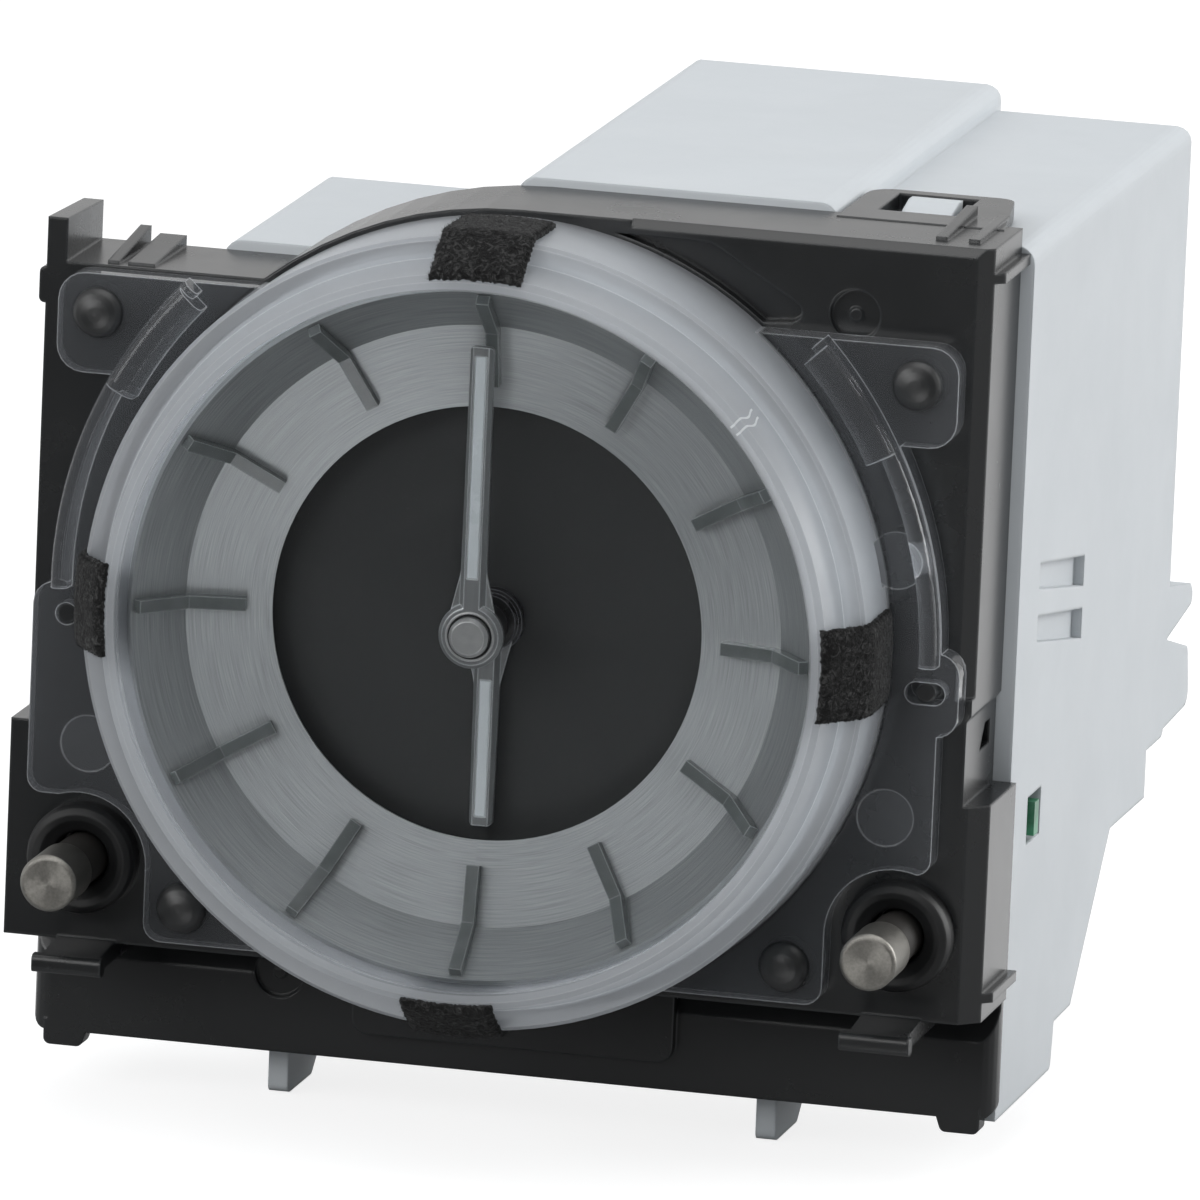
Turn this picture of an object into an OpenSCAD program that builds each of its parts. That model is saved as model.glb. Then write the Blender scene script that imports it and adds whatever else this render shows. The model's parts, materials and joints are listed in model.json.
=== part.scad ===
// Dashboard clock: a dial module in a moulded two-part case, in millimetres.
// The dial axis is the Y axis and Y grows towards the back; Z is up and X is to the right.
// Y = 0 is the plane of the chapter ring's inner edge, and the hands stand at six o'clock.

/* [Dial] */
// Radius of the chapter ring's inner edge
ring_inner_r = 19.05; // [17:0.05:20]
// Radius where the chapter ring bends into its conical rim
ring_bend_r = 26.4; // [25:0.1:27]
// Height of that bend in front of the inner edge
ring_bend_rise = 1.5; // [0.8:0.1:2.2]
// Radius of the rim's front edge
ring_outer_r = 30.1; // [29.2:0.05:30.4]
// Height of the rim's front edge in front of the inner edge
ring_outer_rise = 6; // [5:0.1:6.4]
// Sheet thickness of the chapter ring
ring_t = 0.5; // [0.3:0.05:0.7]
// Depth of the dark disc behind the ring's inner edge
disc_recess = 2.6; // [2.3:0.1:3]
// Thickness of the dark disc
disc_t = 0.8; // [0.5:0.1:1.2]
// Width that the disc reaches behind the ring
disc_lap = 0.9; // [0.4:0.1:1.4]
// Number of hour markers
marker_count = 12; // [4:4:12]
// Width of an hour marker
marker_w = 1.15; // [0.8:0.05:1.6]
// Radius of a marker's inner end
marker_inner_r = 21.2; // [20.5:0.1:23]
// Distance of a marker's outer end from the rim's front edge
marker_end_gap = 0.35; // [0.2:0.05:1]
// Height of a marker above the ring
marker_h = 0.9; // [0.5:0.1:1.4]

/* [Hands] */
// Length of the minute hand from the axis
minute_len = 25.3; // [20:0.1:27]
// Width of the minute hand
minute_w = 2.3; // [1.8:0.1:3]
// Front face of the minute hand, in front of the dial plane
minute_rise = 5.8; // [5:0.1:6.2]
// Length of the hour hand from the axis
hour_len = 17.9; // [14:0.1:18.5]
// Width of the hour hand
hour_w = 2.3; // [1.8:0.1:3]
// Front face of the hour hand, behind the dial plane
hour_drop = 0.4; // [0.2:0.1:0.6]
// Thickness of both hands
hand_t = 0.8; // [0.6:0.1:1]
// Width of the bevel along each edge of a hand
hand_bevel = 0.45; // [0.2:0.05:0.6]
// Width of the light inlay in a hand
inlay_w = 1; // [0.6:0.1:1.1]
// Depth of the inlay groove
inlay_t = 0.3; // [0.2:0.05:0.4]
// Radius of the hubs of both hands
hub_r = 2.85; // [2.6:0.05:3.2]
// Radius of the cap on the minute hand
cap_r = 1.75; // [1.2:0.05:2]
// Height of the cap on the minute hand
cap_h = 0.8; // [0.5:0.1:1]

/* [Lens] */
// Radius of the lens body
lens_r = 34.75; // [34.2:0.05:35]
// Wall thickness of the lens body
lens_wall = 1.55; // [1.2:0.05:1.7]
// Radius at the foot of the lens's front step
lens_step_r = 32.9; // [32.5:0.1:33.2]
// Radius at the lens's front edge
lens_front_r = 32.05; // [31.8:0.05:32.3]
// Inner radius of the lens behind its window
lens_front_inner_r = 30.9; // [30.85:0.05:31]
// Front face of the window, in front of the dial plane
lens_front = 9.5; // [9:0.1:11]
// Step of the lens, in front of the dial plane
lens_step = 5.6; // [5:0.1:6]
// Thickness of the window
window_t = 1.6; // [1.2:0.1:1.8]
// Front face of the clear flange, behind the dial plane
flange_y = 2.4; // [2:0.1:3]
// Thickness of the clear flange
flange_t = 2.6; // [2:0.1:3]
// Radius of the flange's round edge
flange_r = 39.5; // [39:0.1:40]
// Distance of the flange's upper ears inwards from the case's sides
ear_inset = 1.85; // [1.6:0.05:2.8]
// Top edge of the ears above the axis
ear_top = 27; // [26.5:0.1:27.2]
// Bottom edge of the ears above the axis
ear_bottom = 18.2; // [17:0.1:19]
// Distance of the flange's side tabs inwards from the case's sides
tab_inset = 0.6; // [0.3:0.1:1.3]
// Lower edge of the flange's side tabs
tab_bottom = 19.2; // [18.6:0.1:19.4]
// Half width over the flange's lower pads
pad_half_w = 30.3; // [29.8:0.1:30.6]
// Bottom edge of the flange below the axis
flange_bottom = 31.5; // [31:0.1:32]
// Rise of the flange's edge bead
bead_h = 1.9; // [1:0.1:2.2]
// Width of the flange's edge bead
bead_w = 1.7; // [1.2:0.1:2]

/* [Felt pads] */
// Width of a felt pad
felt_w = 8.2; // [6:0.1:10]
// Thickness of a felt pad
felt_t = 0.7; // [0.4:0.05:0.9]

/* [Front case] */
// Half width of the front plate
case_half_w = 41.8; // [41.6:0.1:43]
// Top of the case above the axis, and radius of its arch
case_top = 35.3; // [35.2:0.1:36.5]
// Top of the low shoulder on the left
shoulder_top = 27.3; // [27.25:0.05:28.4]
// Bottom edge of the front plate below the axis
plate_bottom = 32.6; // [32.2:0.1:33]
// Step by which the lower blocks stand out beyond the plate's sides
block_step = 1.7; // [1.2:0.1:2.2]
// Top of the lower blocks below the axis
block_top = 13.4; // [12.5:0.1:14]
// Thickness of the front plate
plate_t = 2; // [1.6:0.1:2.4]
// Wall thickness of both case halves
wall = 1.8; // [1.4:0.1:2]
// Depth of the front case from the plate's face to its rear rim
case_depth = 11.5; // [11:0.1:13]
// Step by which the chin stands out beyond the plate's sides
chin_step = 1.5; // [0.8:0.1:1.8]
// Bottom of the chin below the axis
chin_bottom = 43.1; // [42:0.1:44]
// Thickness of the chin
chin_t = 2.2; // [1.8:0.1:2.6]
// Width of the corner feet under the chin
foot_w = 3.4; // [2.5:0.1:4.5]
// Height of the corner feet
foot_h = 1.3; // [0.8:0.1:1.8]
// Height of the upright tab on the left shoulder
side_tab_h = 3.8; // [2:0.1:5]
// Thickness of the upright tab
side_tab_t = 1.8; // [1.4:0.1:2.2]
// Reach of the lower hooks in front of the plate
hook_reach = 6.7; // [5:0.1:9]
// Width of a lower hook
hook_w = 6.2; // [5:0.1:7]
// Thickness of a lower hook
hook_t = 1.5; // [1.2:0.1:1.8]
// Reach of the latch lug behind the rear rim
lug_reach = 12; // [10:0.1:13]
// Thickness of the latch lug
lug_t = 1.5; // [1.2:0.1:1.6]

/* [Rear cover] */
// Right wall beyond the front plate's half width
cover_step = 1.2; // [0.8:0.1:1.5]
// Back of the tall boxes behind the rear rim
tall_depth = 62.8; // [58:0.1:66]
// Back of the left box behind the rear rim
left_depth = 33.5; // [30:0.1:36]
// Back of the low base behind the rear rim
base_depth = 15.5; // [14:0.1:17]
// Left wall of the left box, left of the axis
left_box_x = 29; // [27:0.1:31]
// Wall between the left box and the middle box, left of the axis
mid_box_x = 3; // [2:0.1:5]
// Wall between the middle box and the right box
right_box_x = 25.5; // [24:0.1:27]
// Top of the left box
left_box_top = 28.2; // [27:0.1:29]
// Top of the middle box
mid_box_top = 36; // [35.5:0.1:37]
// Top of the right box
right_box_top = 33.7; // [33:0.1:33.7]
// Top of the low base
base_top = 21; // [20.6:0.1:23]
// Bottom of the cover below the axis
cover_bottom = 43.6; // [43.2:0.1:45]
// Radius on the cover's outer edges
cover_round = 1.6; // [0.8:0.1:2]
// Thickness of the two legs
leg_t = 1.8; // [1.4:0.1:2.4]
// Distance of each leg from the axis
leg_x = 22; // [18:0.5:25]
// Bottom of the legs below the axis
leg_bottom = 48; // [46:0.1:50]

/* [Buttons] */
// Distance of each button inwards from the plate's sides
button_inset = 5.4; // [5:0.1:5.6]
// Distance of each button below the axis
button_drop = 25; // [24.8:0.1:25.4]
// Radius of a button's metal cap
button_r = 2.5; // [2.2:0.05:2.6]
// Length of a button's metal cap
button_cap_len = 5.4; // [4:0.1:6.5]
// Tip of a button in front of the dial plane
button_tip = 7.3; // [6:0.1:9]
// Travel of a button
button_travel = 1; // [0.6:0.1:1.2]
// Outer radius of a rubber boot
boot_r = 4.85; // [4.6:0.05:5.2]
// Height of a rubber boot in front of the plate
boot_h = 2.5; // [2:0.1:2.8]

/* [Movement] */
// Tooth module of the going train
train_module = 0.4; // [0.38:0.01:0.42]
// Teeth of the centre wheel
centre_teeth = 60; // [50:10:60]
// Teeth of the intermediate wheel
inter_teeth = 40; // [40:10:50]
// Leaves of each train pinion
pinion_teeth = 10; // [10:1:12]
// Leaves of the cannon pinion
cannon_teeth = 12; // [12:1:12]
// Teeth of the motion wheel
motion_teeth = 36; // [36:1:36]
// Teeth of the hour wheel
hour_teeth = 40; // [40:1:40]
// Thickness of a wheel
wheel_t = 1; // [0.8:0.1:1.2]
// Thickness of the movement plates
mplate_t = 1.5; // [1.2:0.1:1.8]
// Radius of the steel minute arbor
arbor_r = 0.9; // [0.7:0.05:1]
// Wall of the hour pipe
pipe_wall = 0.7; // [0.5:0.05:0.8]
// Radius of an arbor's pivots
pivot_r = 0.6; // [0.4:0.05:0.7]

/* [Circuit board] */
// Thickness of the circuit board
board_t = 1.6; // [1:0.1:2]
// Front face of the board behind the front case's rear rim
board_back = 8.5; // [8:0.1:9.5]
// Top edge of the board above the axis
board_top = 18.8; // [18:0.1:19]
// Bottom edge of the board below the axis
board_bottom = 33; // [31:0.1:36]
// Width of a dial lamp
lamp_w = 3.2; // [2:0.1:3.6]
// Radius of the circle of dial lamps
lamp_ring_r = 29; // [28.5:0.5:30]
// Length of the quartz crystal
crystal_len = 11; // [8:0.5:13]
// Width of the control chip
chip_w = 10; // [6:0.5:12]
// Radius of a capacitor
can_r = 3.2; // [2:0.1:4]
// Height of a capacitor
can_h = 5.4; // [4:0.1:8]

/* [Clearances] */
// Gap between parts that lie together
seat_gap = 0.05; // [0.03:0.01:0.1]
// Radial clearance of turning and sliding fits
run_gap = 0.05; // [0.03:0.01:0.08]
// Gap round parts that drop into an opening
drop_gap = 0.3; // [0.2:0.05:0.4]

/* [Hidden] */
$fn = 64;

// Half widths that follow the front plate
ear_half_w = case_half_w - ear_inset;
tab_half_w = case_half_w - tab_inset;
block_half_w = case_half_w + block_step;
chin_half_w = case_half_w + chin_step;
button_x = case_half_w - button_inset;

// Depth stations, front to back
plate_y = flange_y + flange_t;
plate_back = plate_y + plate_t;
rim_y = plate_y + case_depth;
board_y = rim_y + board_back;
board_rear = board_y + board_t;
ledge_t = 1;
head_h = 0.8;
disc_back = disc_recess + disc_t;
mfront_y = plate_back + ledge_t + head_h + 0.1;
mfront_back = mfront_y + mplate_t;
mback_rear = board_y - 1.2;
mback_y = mback_rear - mplate_t;

// Train layout in the plane across the axis
end_shake = 0.15;
train_dist = train_module * (centre_teeth + pinion_teeth) / 2;
rotor_dist = train_module * (inter_teeth + pinion_teeth) / 2;
motion_dist = train_module * (cannon_teeth + motion_teeth) / 2;
hour_module = 2 * motion_dist / (hour_teeth + pinion_teeth);
inter_pos = [0, -train_dist];
rotor_pos = [-rotor_dist, -train_dist];
motion_pos = [motion_dist, 0];
hour_wheel_y = mfront_back + end_shake;
motion_wheel_y = hour_wheel_y + wheel_t + 0.4;
centre_wheel_y = motion_wheel_y + wheel_t + 1.2;
inter_wheel_y = centre_wheel_y + wheel_t + 0.9;
rotor_magnet_y = inter_wheel_y + wheel_t + 0.8;
pipe_r = arbor_r + run_gap + pipe_wall;
movement_left = rotor_pos[0] - 13.6;
movement_right = motion_pos[0] + 9.5;
movement_bottom = rotor_pos[1] - 16;
movement_top = 13;
pillar_r = 1.6;
pillar_inset = 3;
pillar_spots = [for (x = [movement_left + pillar_inset, movement_right - pillar_inset],
    z = [movement_bottom + pillar_inset, movement_top - pillar_inset]) [x, z]];
coil_z = rotor_pos[1] - 11.8;
coil_half = 6.6;
yoke_half = coil_half + 2.1;
stator_t = 1.2;
magnet_r = 3;
magnet_t = 2;

// Openings and seats that more than one part shares
lens_inner_r = lens_r - lens_wall;
carrier_r = lens_inner_r - drop_gap;
opening_r = carrier_r + drop_gap;
disc_r = ring_inner_r + disc_lap;
post_r = 1.6;
post_head_r = 2.25;
post_head_h = 1.3;
post_spots = [[-ear_half_w + 3.6, ear_top - 3.4], [ear_half_w - 3.6, ear_top - 3.4],
    [-pad_half_w + 3.4, -flange_bottom + 3.2], [pad_half_w - 3.4, -flange_bottom + 3.2]];
locator_r = 0.95;
locator_x = tab_half_w - 3;
locator_drop = 3.2;
boot_clear_r = boot_r + 1.25;
button_spots = [[-button_x, -button_drop], [button_x, -button_drop]];
neck_r = boot_r - 0.95;
plunger_r = button_r - 0.3;
guide_bore_r = plunger_r + run_gap;
guide_r = neck_r + 0.7;
guide_end = rim_y - 0.2;
collar_y = guide_end + 0.2;
collar_t = 1.2;
plunger_end = collar_y + collar_t + 1.6;
switch_tip = plunger_end + button_travel + 0.2;
boss_r = 2.4;
boss_spots = [for (x = [-1, 1], z = [board_top - 2.9, -11.2]) [x * (case_half_w - 6.2), z]];
screw_r = 1.1;
hook_x = button_x - 0.4;
cover_right = case_half_w + cover_step;
cover_left = -case_half_w;
window_z = -18.4;
tab_w = 3;
socket_w = 9.6;
socket_h = 20;
socket_wall = 1;
socket_x = cover_left + wall + 0.6 + socket_w / 2;
socket_z = 2;
socket_end = rim_y + base_depth + 4.8;
lug_x0 = right_box_x + 0.3;
lug_x1 = lug_x0 + 12.6;
lug_z1 = right_box_top + 0.2 + lug_t;
lug_window = [lug_x0 + 2.7, lug_x0 + 9.8];

// Places a flat drawing in the XZ plane between two depths
module along_y(y0, y1) {
    translate([0, y1, 0]) rotate([90, 0, 0]) linear_extrude(y1 - y0) children();
}

// Places a flat YZ drawing between two sideways stations
module along_x(x0, x1) {
    translate([x0, 0, 0]) rotate([90, 0, 90]) linear_extrude(x1 - x0) children();
}

// Turns a radius and depth drawing about the dial axis, clockwise from one clock angle to another
module revolve_y(from = 0, to = 360) {
    rotate([0, from - 90, 0]) rotate([-90, 0, 0]) rotate_extrude(angle = to - from) children();
}

// A round bar along Y at a spot in the XZ plane
module bar(spot, r, y0, y1) {
    translate([spot[0], y0, spot[1]]) rotate([-90, 0, 0]) cylinder(r = r, h = y1 - y0);
}

// A rectangle from two corners
module rect(x0, z0, x1, z1) {
    translate([x0, z0]) square([x1 - x0, z1 - z0]);
}

function unit(v) = v / norm(v);
function flat(p) = [p[0], p[1]];

// Arc of n steps that rounds corner b between a and c
function corner(a, b, c, r, n) =
    let (u = unit(a - b), v = unit(c - b), h = acos(u * v) / 2, m = b + unit(u + v) * r / sin(h),
        p = b + u * r / tan(h) - m, q = b + v * r / tan(h) - m,
        s = atan2(p[1], p[0]), e = atan2(q[1], q[0]), d = (e - s + 540) % 360 - 180)
    [for (i = [0:n]) m + r * [cos(s + d * i / n), sin(s + d * i / n)]];

// Outline whose points are [x, y] or [x, y, radius]
function rounded(pts, n = 5) =
    let (k = len(pts))
    [for (i = [0:k - 1])
        let (b = flat(pts[i]), a = flat(pts[(i + k - 1) % k]), c = flat(pts[(i + 1) % k]))
        each (len(pts[i]) > 2 && pts[i][2] > 0 ? corner(a, b, c, pts[i][2], n) : [b])];

// Moves each edge of a counter-clockwise outline inwards by d
function inset(pts, d) =
    let (k = len(pts))
    [for (i = [0:k - 1])
        let (b = flat(pts[i]), u = unit(b - flat(pts[(i + k - 1) % k])), v = unit(flat(pts[(i + 1) % k]) - b),
            m = [-u[1], u[0]], n = [-v[1], v[0]])
        b + (m + n) * d / (1 + m * n)];

// Band of thickness t on the right-hand side of an open path
function band(path, t) =
    let (k = len(path), dirs = [for (i = [0:k - 2]) unit(path[i + 1] - path[i])],
        side = [for (i = [0:k - 1])
            let (u = dirs[max(i - 1, 0)], v = dirs[min(i, k - 2)], m = [u[1], -u[0]], n = [v[1], -v[0]])
            path[i] + (m + n) * t / (1 + m * n)])
    concat(path, [for (i = [k - 1:-1:0]) side[i]]);

// Angle of the involute at a pressure angle, in degrees
function involute(a) = tan(a) * 180 / PI - a;
function flank(n, m, r) =
    let (base = m * n / 2 * cos(20))
    180 / n * 0.42 + involute(20) - (r > base ? involute(acos(base / r)) : 0);

// Outline of a spur gear with n teeth of module m, its first tooth at angle phase
function gear(n, m, phase) =
    let (rp = m * n / 2, radii = [rp - 1.1 * m, rp - 0.35 * m, rp + 0.3 * m, rp + 0.8 * m])
    [for (k = [0:n - 1], s = [-1, 1], i = [0:3])
        let (r = radii[s < 0 ? i : 3 - i], a = phase + 360 * k / n + s * flank(n, m, r))
        r * [cos(a), sin(a)]];

// Phase at which gear b meshes with gear a, seen along direction beta from a
function mesh(beta, phase_a, na, nb) = beta + 180 + 180 / nb - (phase_a - beta) * na / nb;

function at(spot, pts) = [for (p = pts) p + spot];

// Outline of the front plate, counter-clockwise from its lower left corner
shoulder_x = -sqrt(case_top * case_top - shoulder_top * shoulder_top);
arch_start = atan2(shoulder_top, shoulder_x);
case_outline = concat(
    [[-block_half_w, -plate_bottom], [block_half_w, -plate_bottom], [block_half_w, -block_top],
        [case_half_w - 0.4, -block_top], [case_half_w - 0.4, -6], [case_half_w, -5.4],
        [case_half_w, case_top]],
    [for (i = [0:8]) case_top * [cos(90 + (arch_start - 90) * i / 8), sin(90 + (arch_start - 90) * i / 8)]],
    [[-case_half_w, shoulder_top], [-case_half_w, -block_top], [-block_half_w, -block_top]]);

// Boxes of the rear cover: left wall, right wall, top and depth behind the rim
box_lap = 6;
cover_boxes = [[cover_left, cover_right, base_top, base_depth],
    [-left_box_x, -mid_box_x + box_lap, left_box_top, left_depth],
    [-mid_box_x, right_box_x, mid_box_top, tall_depth],
    [right_box_x - box_lap, cover_right, right_box_top, tall_depth]];

// Side profile of a cover box: the underside steps and slants up towards the back
slant = [[rim_y + 22.3, -cover_bottom + 4.1], [rim_y + 28.8, -cover_bottom + 4.2],
    [rim_y + 42.1, -cover_bottom + 17.4], [rim_y + 56, -cover_bottom + 17.3],
        [rim_y + 56, -cover_bottom + 21.6]];
function slant_z(y) = slant[1][1] + (y - slant[1][0]) * (slant[2][1] - slant[1][1])
    / (slant[2][0] - slant[1][0]);
function side_profile(top, depth, front) =
    let (y = rim_y + depth)
    concat([[front, -cover_bottom]],
        depth < 20 ? [[y, -cover_bottom, 1]]
            : concat([[rim_y + 21.6, -cover_bottom, 0.8]], [slant[0], slant[1]],
                depth < 40 ? [[y, slant_z(y)]] : [slant[2], slant[3], slant[4], [y, slant[4][1], 1]]),
        [[y, top, cover_round], [front, top]]);

module cover_box(b, d) {
    intersection() {
        along_x(b[0] + d, b[1] - d) polygon(d > 0 ? inset(side_profile(b[2], b[3], rim_y - 2 * d), d)
            : rounded(side_profile(b[2], b[3], rim_y)));
        along_y(rim_y - wall, rim_y + b[3] + 1)
            polygon(rounded([[b[0] + d, -cover_bottom - 1], [b[1] - d, -cover_bottom - 1],
                [b[1] - d, b[2] - d, max(cover_round - d, 0)],
                    [b[0] + d, b[2] - d, max(cover_round - d, 0)]]));
    }
}

// Inside of the cover where it meets the front case
module cover_mouth() {
    for (b = cover_boxes) rect(b[0] + wall, -cover_bottom + wall, b[1] - wall, b[2] - wall);
}

// Domed head of a post that is staked over the clear flange
module stake(spot) {
    bar(spot, post_r, flange_y - 0.2, plate_back);
    translate([spot[0], flange_y - seat_gap, spot[1]]) rotate([90, 0, 0])
        rotate_extrude() polygon([[0, 0], [post_head_r, 0],
            for (a = [20:17.5:90]) [post_head_r * cos(a), post_head_h * sin(a)]]);
}

// Shallow dimple with a pip at its centre, where the moulding was filled
module gate_dimple(spot, y) {
    difference() {
        bar(spot, 2.2, y - 1, y + 0.6);
        bar(spot, 0.6, y + 0.25, y + 1);
    }
}

module front_case() color("#1d1f21") {
    difference() {
        union() {
            along_y(plate_y, plate_back) polygon(case_outline);
            along_y(plate_back - 0.1, plate_back + ledge_t) difference() {
                circle(opening_r + wall);
                circle(opening_r - 1.8);
            }
            along_y(plate_y, rim_y) difference() {
                polygon(case_outline);
                polygon(inset(case_outline, wall));
            }
            along_y(rim_y - wall, rim_y) difference() {
                polygon(case_outline);
                cover_mouth();
            }
            chin();
            shoulder_details();
            latch_lug();
            side_details();
            for (s = [-1, 1]) hook(s);
            for (spot = post_spots) stake(spot);
            for (spot = boss_spots) bar(spot, boss_r, plate_back - 0.1, board_y);
            for (spot = button_spots) bar(spot, guide_r, plate_back - 0.1, guide_end);
            bar([-locator_x, -locator_drop], locator_r - run_gap, flange_y + 0.4, plate_back);
            bar([locator_x, -locator_drop], locator_r - run_gap, flange_y + 0.4, plate_back);
        }
        bar([0, 0], opening_r, plate_y - 1, plate_back);
        for (spot = boss_spots) bar(spot, screw_r + seat_gap, board_y - 9, board_y + 1);
        for (spot = button_spots) bar(spot, guide_bore_r, plate_y - 1, guide_end + 1);
        for (spot = button_spots) bar(spot, neck_r + seat_gap, plate_y - 1, plate_back);
        gate_dimple([case_half_w - 11.8, case_top - 6.6], plate_y);
        gate_dimple([-21, -plate_bottom - 3.4], rim_y - chin_t);
        lens_side_pocket();
        edge_cut(case_half_w, -4, case_top + 1, 1.3);
        edge_cut(block_half_w, -plate_bottom - 1, -block_top + 1, 1.7);
        along_x(10, case_half_w + 1) polygon([[plate_y - 1, case_top - 1.7], [plate_y + 1, case_top + 0.3],
            [plate_y - 1, case_top + 0.3]]);
        along_x(case_half_w - 3, case_half_w + 3)
            polygon([[plate_back + 3.6, -9.6], [rim_y - 2.2, -9.6], [rim_y - 2.2, -7.4],
                [plate_back + 5.4, -7.4]]);
    }
}

// Slanted cut along an upright front edge of the case
module edge_cut(x, z0, z1, c) {
    translate([0, 0, z0]) linear_extrude(z1 - z0)
        polygon([[x - c - 1, plate_y - 1], [x + 1, plate_y - 1], [x + 1, plate_y + c + 1]]);
}

// Sunk corner of the plate between the arch, the flat top and the upper right ear
module lens_side_pocket() {
    along_y(plate_y - 1, plate_y + 1.2) difference() {
        polygon(rounded([[6, case_top - 1.2], [9, case_top - 9], [24.5, 27.6], [26, 28.6, 0.8],
            [17, case_top - 1.4, 1.5]]));
        circle(case_top - 0.2);
    }
}

// Skirt under the plate with its corner feet and raised middle panel
module chin() {
    intersection() {
        along_y(rim_y - chin_t, rim_y)
            polygon(rounded([[-chin_half_w, -plate_bottom + wall], [-chin_half_w, -chin_bottom, 1.4],
                [chin_half_w, -chin_bottom, 1.4], [chin_half_w, -plate_bottom + wall]]));
        along_x(-chin_half_w - 1, chin_half_w + 1)
            polygon([[rim_y - chin_t - 1, -chin_bottom - 1], [rim_y + 1, -chin_bottom - 1],
                [rim_y + 1, -plate_bottom + wall],
                [rim_y - chin_t + 1.4, -plate_bottom + wall], [rim_y - chin_t + 1.4, -plate_bottom - 0.8],
                [rim_y - chin_t, -plate_bottom - 3.6], [rim_y - chin_t - 1, -plate_bottom - 3.6]]);
        translate([0, 0, -chin_bottom - 1]) linear_extrude(chin_bottom - plate_bottom + wall + 2)
            polygon(rounded([[-chin_half_w, rim_y + 1], [-chin_half_w, rim_y - chin_t, chin_t * 0.75],
                [chin_half_w, rim_y - chin_t, chin_t * 0.75], [chin_half_w, rim_y + 1]]));
    }
    along_y(rim_y - chin_t - 1.2, rim_y - chin_t + 0.1)
        polygon(rounded([[-14, -plate_bottom + 0.5], [-14, -chin_bottom + 2.6, 1.4],
            [14.8, -chin_bottom + 2.6, 1.4], [14.8, -plate_bottom + 0.5]]));
    for (s = [-1, 1])
        along_y(rim_y - chin_t, rim_y)
            polygon(rounded([[s * (chin_half_w - 1.2), -chin_bottom + 1],
                [s * (chin_half_w - 1.2), -chin_bottom - foot_h, 0.6],
                [s * (chin_half_w - 1.2 - foot_w), -chin_bottom - foot_h, 0.6],
                [s * (chin_half_w - 2 - foot_w), -chin_bottom + 1]]));
}

// Upright tab, edge pad and ribs on the left shoulder
module shoulder_details() {
    along_x(-case_half_w, -case_half_w + side_tab_t)
        polygon([[plate_y, shoulder_top - 1], [rim_y, shoulder_top - 1],
            [rim_y, shoulder_top + side_tab_h - 0.4],
            [plate_y, shoulder_top + side_tab_h]]);
    along_y(plate_y, plate_y + 3)
        polygon(rounded([[-case_half_w - 0.6, shoulder_top - 0.6, 0.5],
            [-case_half_w - 0.6, shoulder_top - 3.8, 0.5],
            [-case_half_w + 0.5, shoulder_top - 3.8], [-case_half_w + 0.5, shoulder_top - 0.6]]));
    along_x(-36.6, -35.6)
        polygon([[plate_y + 1, shoulder_top - 0.5], [rim_y, shoulder_top - 0.5], [rim_y, shoulder_top + 1.5],
            [plate_y + 1, shoulder_top + 0.2]]);
    along_x(-34.8, -32.4)
        polygon([[plate_y + 1, shoulder_top - 0.5], [rim_y, shoulder_top - 0.5], [rim_y, shoulder_top + 0.9],
            [plate_y + 1, shoulder_top + 0.2]]);
}

// Flat lug behind the top wall, with a window for the cover's latch
module latch_lug() {
    translate([0, 0, lug_z1 - lug_t]) linear_extrude(lug_t) difference() {
        polygon(rounded([[lug_x0, rim_y - 2], [lug_x1 + 2.2, rim_y - 2], [lug_x1, rim_y + lug_reach, 1.6],
            [lug_x0, rim_y + lug_reach, 2.4]]));
        rect(lug_window[0], rim_y + 2.2, lug_window[1], rim_y + lug_reach - 1.6);
    }
    for (x = [0.5, 3.4]) along_x(lug_window[1] + x, lug_window[1] + x + 1)
        polygon([[plate_y + 3, case_top - 0.5], [rim_y + 3, lug_z1 - 0.4], [rim_y + 3, lug_z1 + 1 - x / 5],
            [plate_y + 3, case_top + 0.3]]);
}

// Fins along the right-hand wall
module side_details() {
    for (p = [[case_top - 2.2, case_half_w], [-plate_bottom + 2.6, block_half_w]])
        along_y(plate_y + 1, rim_y)
            rect(p[1] - 0.5, p[0] - 0.9, p[1] + 0.8, p[0]);
}

// Hook that reaches forward under a button
module hook(s) {
    neck_half = hook_w / 2 - 0.5;
    along_x(s * hook_x - neck_half, s * hook_x + neck_half)
        polygon([[plate_y - hook_reach + 0.6, -plate_bottom - hook_t], [rim_y, -plate_bottom - hook_t],
            [rim_y, -plate_bottom + 0.2], [plate_y, -plate_bottom + 0.2],
                [plate_y - hook_reach + 0.6, -plate_bottom - 0.4]]);
    along_x(s * hook_x - hook_w / 2, s * hook_x + hook_w / 2)
        polygon(rounded([[plate_y - hook_reach, -plate_bottom - hook_t - 0.2, 0.5],
            [plate_y - hook_reach + 1.5, -plate_bottom - hook_t - 0.2, 0.4],
            [plate_y - hook_reach + 1.5, -plate_bottom - 0.1, 0.4],
                [plate_y - hook_reach, -plate_bottom - 0.1, 0.5]]));
}

module rear_cover() color("#d3d8dc") {
    difference() {
        union() {
            difference() {
                union() for (b = cover_boxes) cover_box(b, 0);
                union() for (b = cover_boxes) cover_box(b, wall);
            }
            for (s = [-1, 1]) leg(s);
            guide_fins();
            latch_hook();
        }
        louvres();
        along_x(cover_right - wall - 1, cover_right + 1)
            rect(board_y - 1.2, window_z - tab_w / 2 - 0.6, board_rear + 2.4, window_z + tab_w / 2 + 0.6);
        along_y(rim_y + base_depth - wall - 1, rim_y + base_depth + 1)
            rect(socket_x - socket_w / 2 - drop_gap, socket_z - socket_h / 2 - drop_gap,
                socket_x + socket_w / 2 + drop_gap, socket_z + socket_h / 2 + drop_gap);
    }
}

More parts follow.
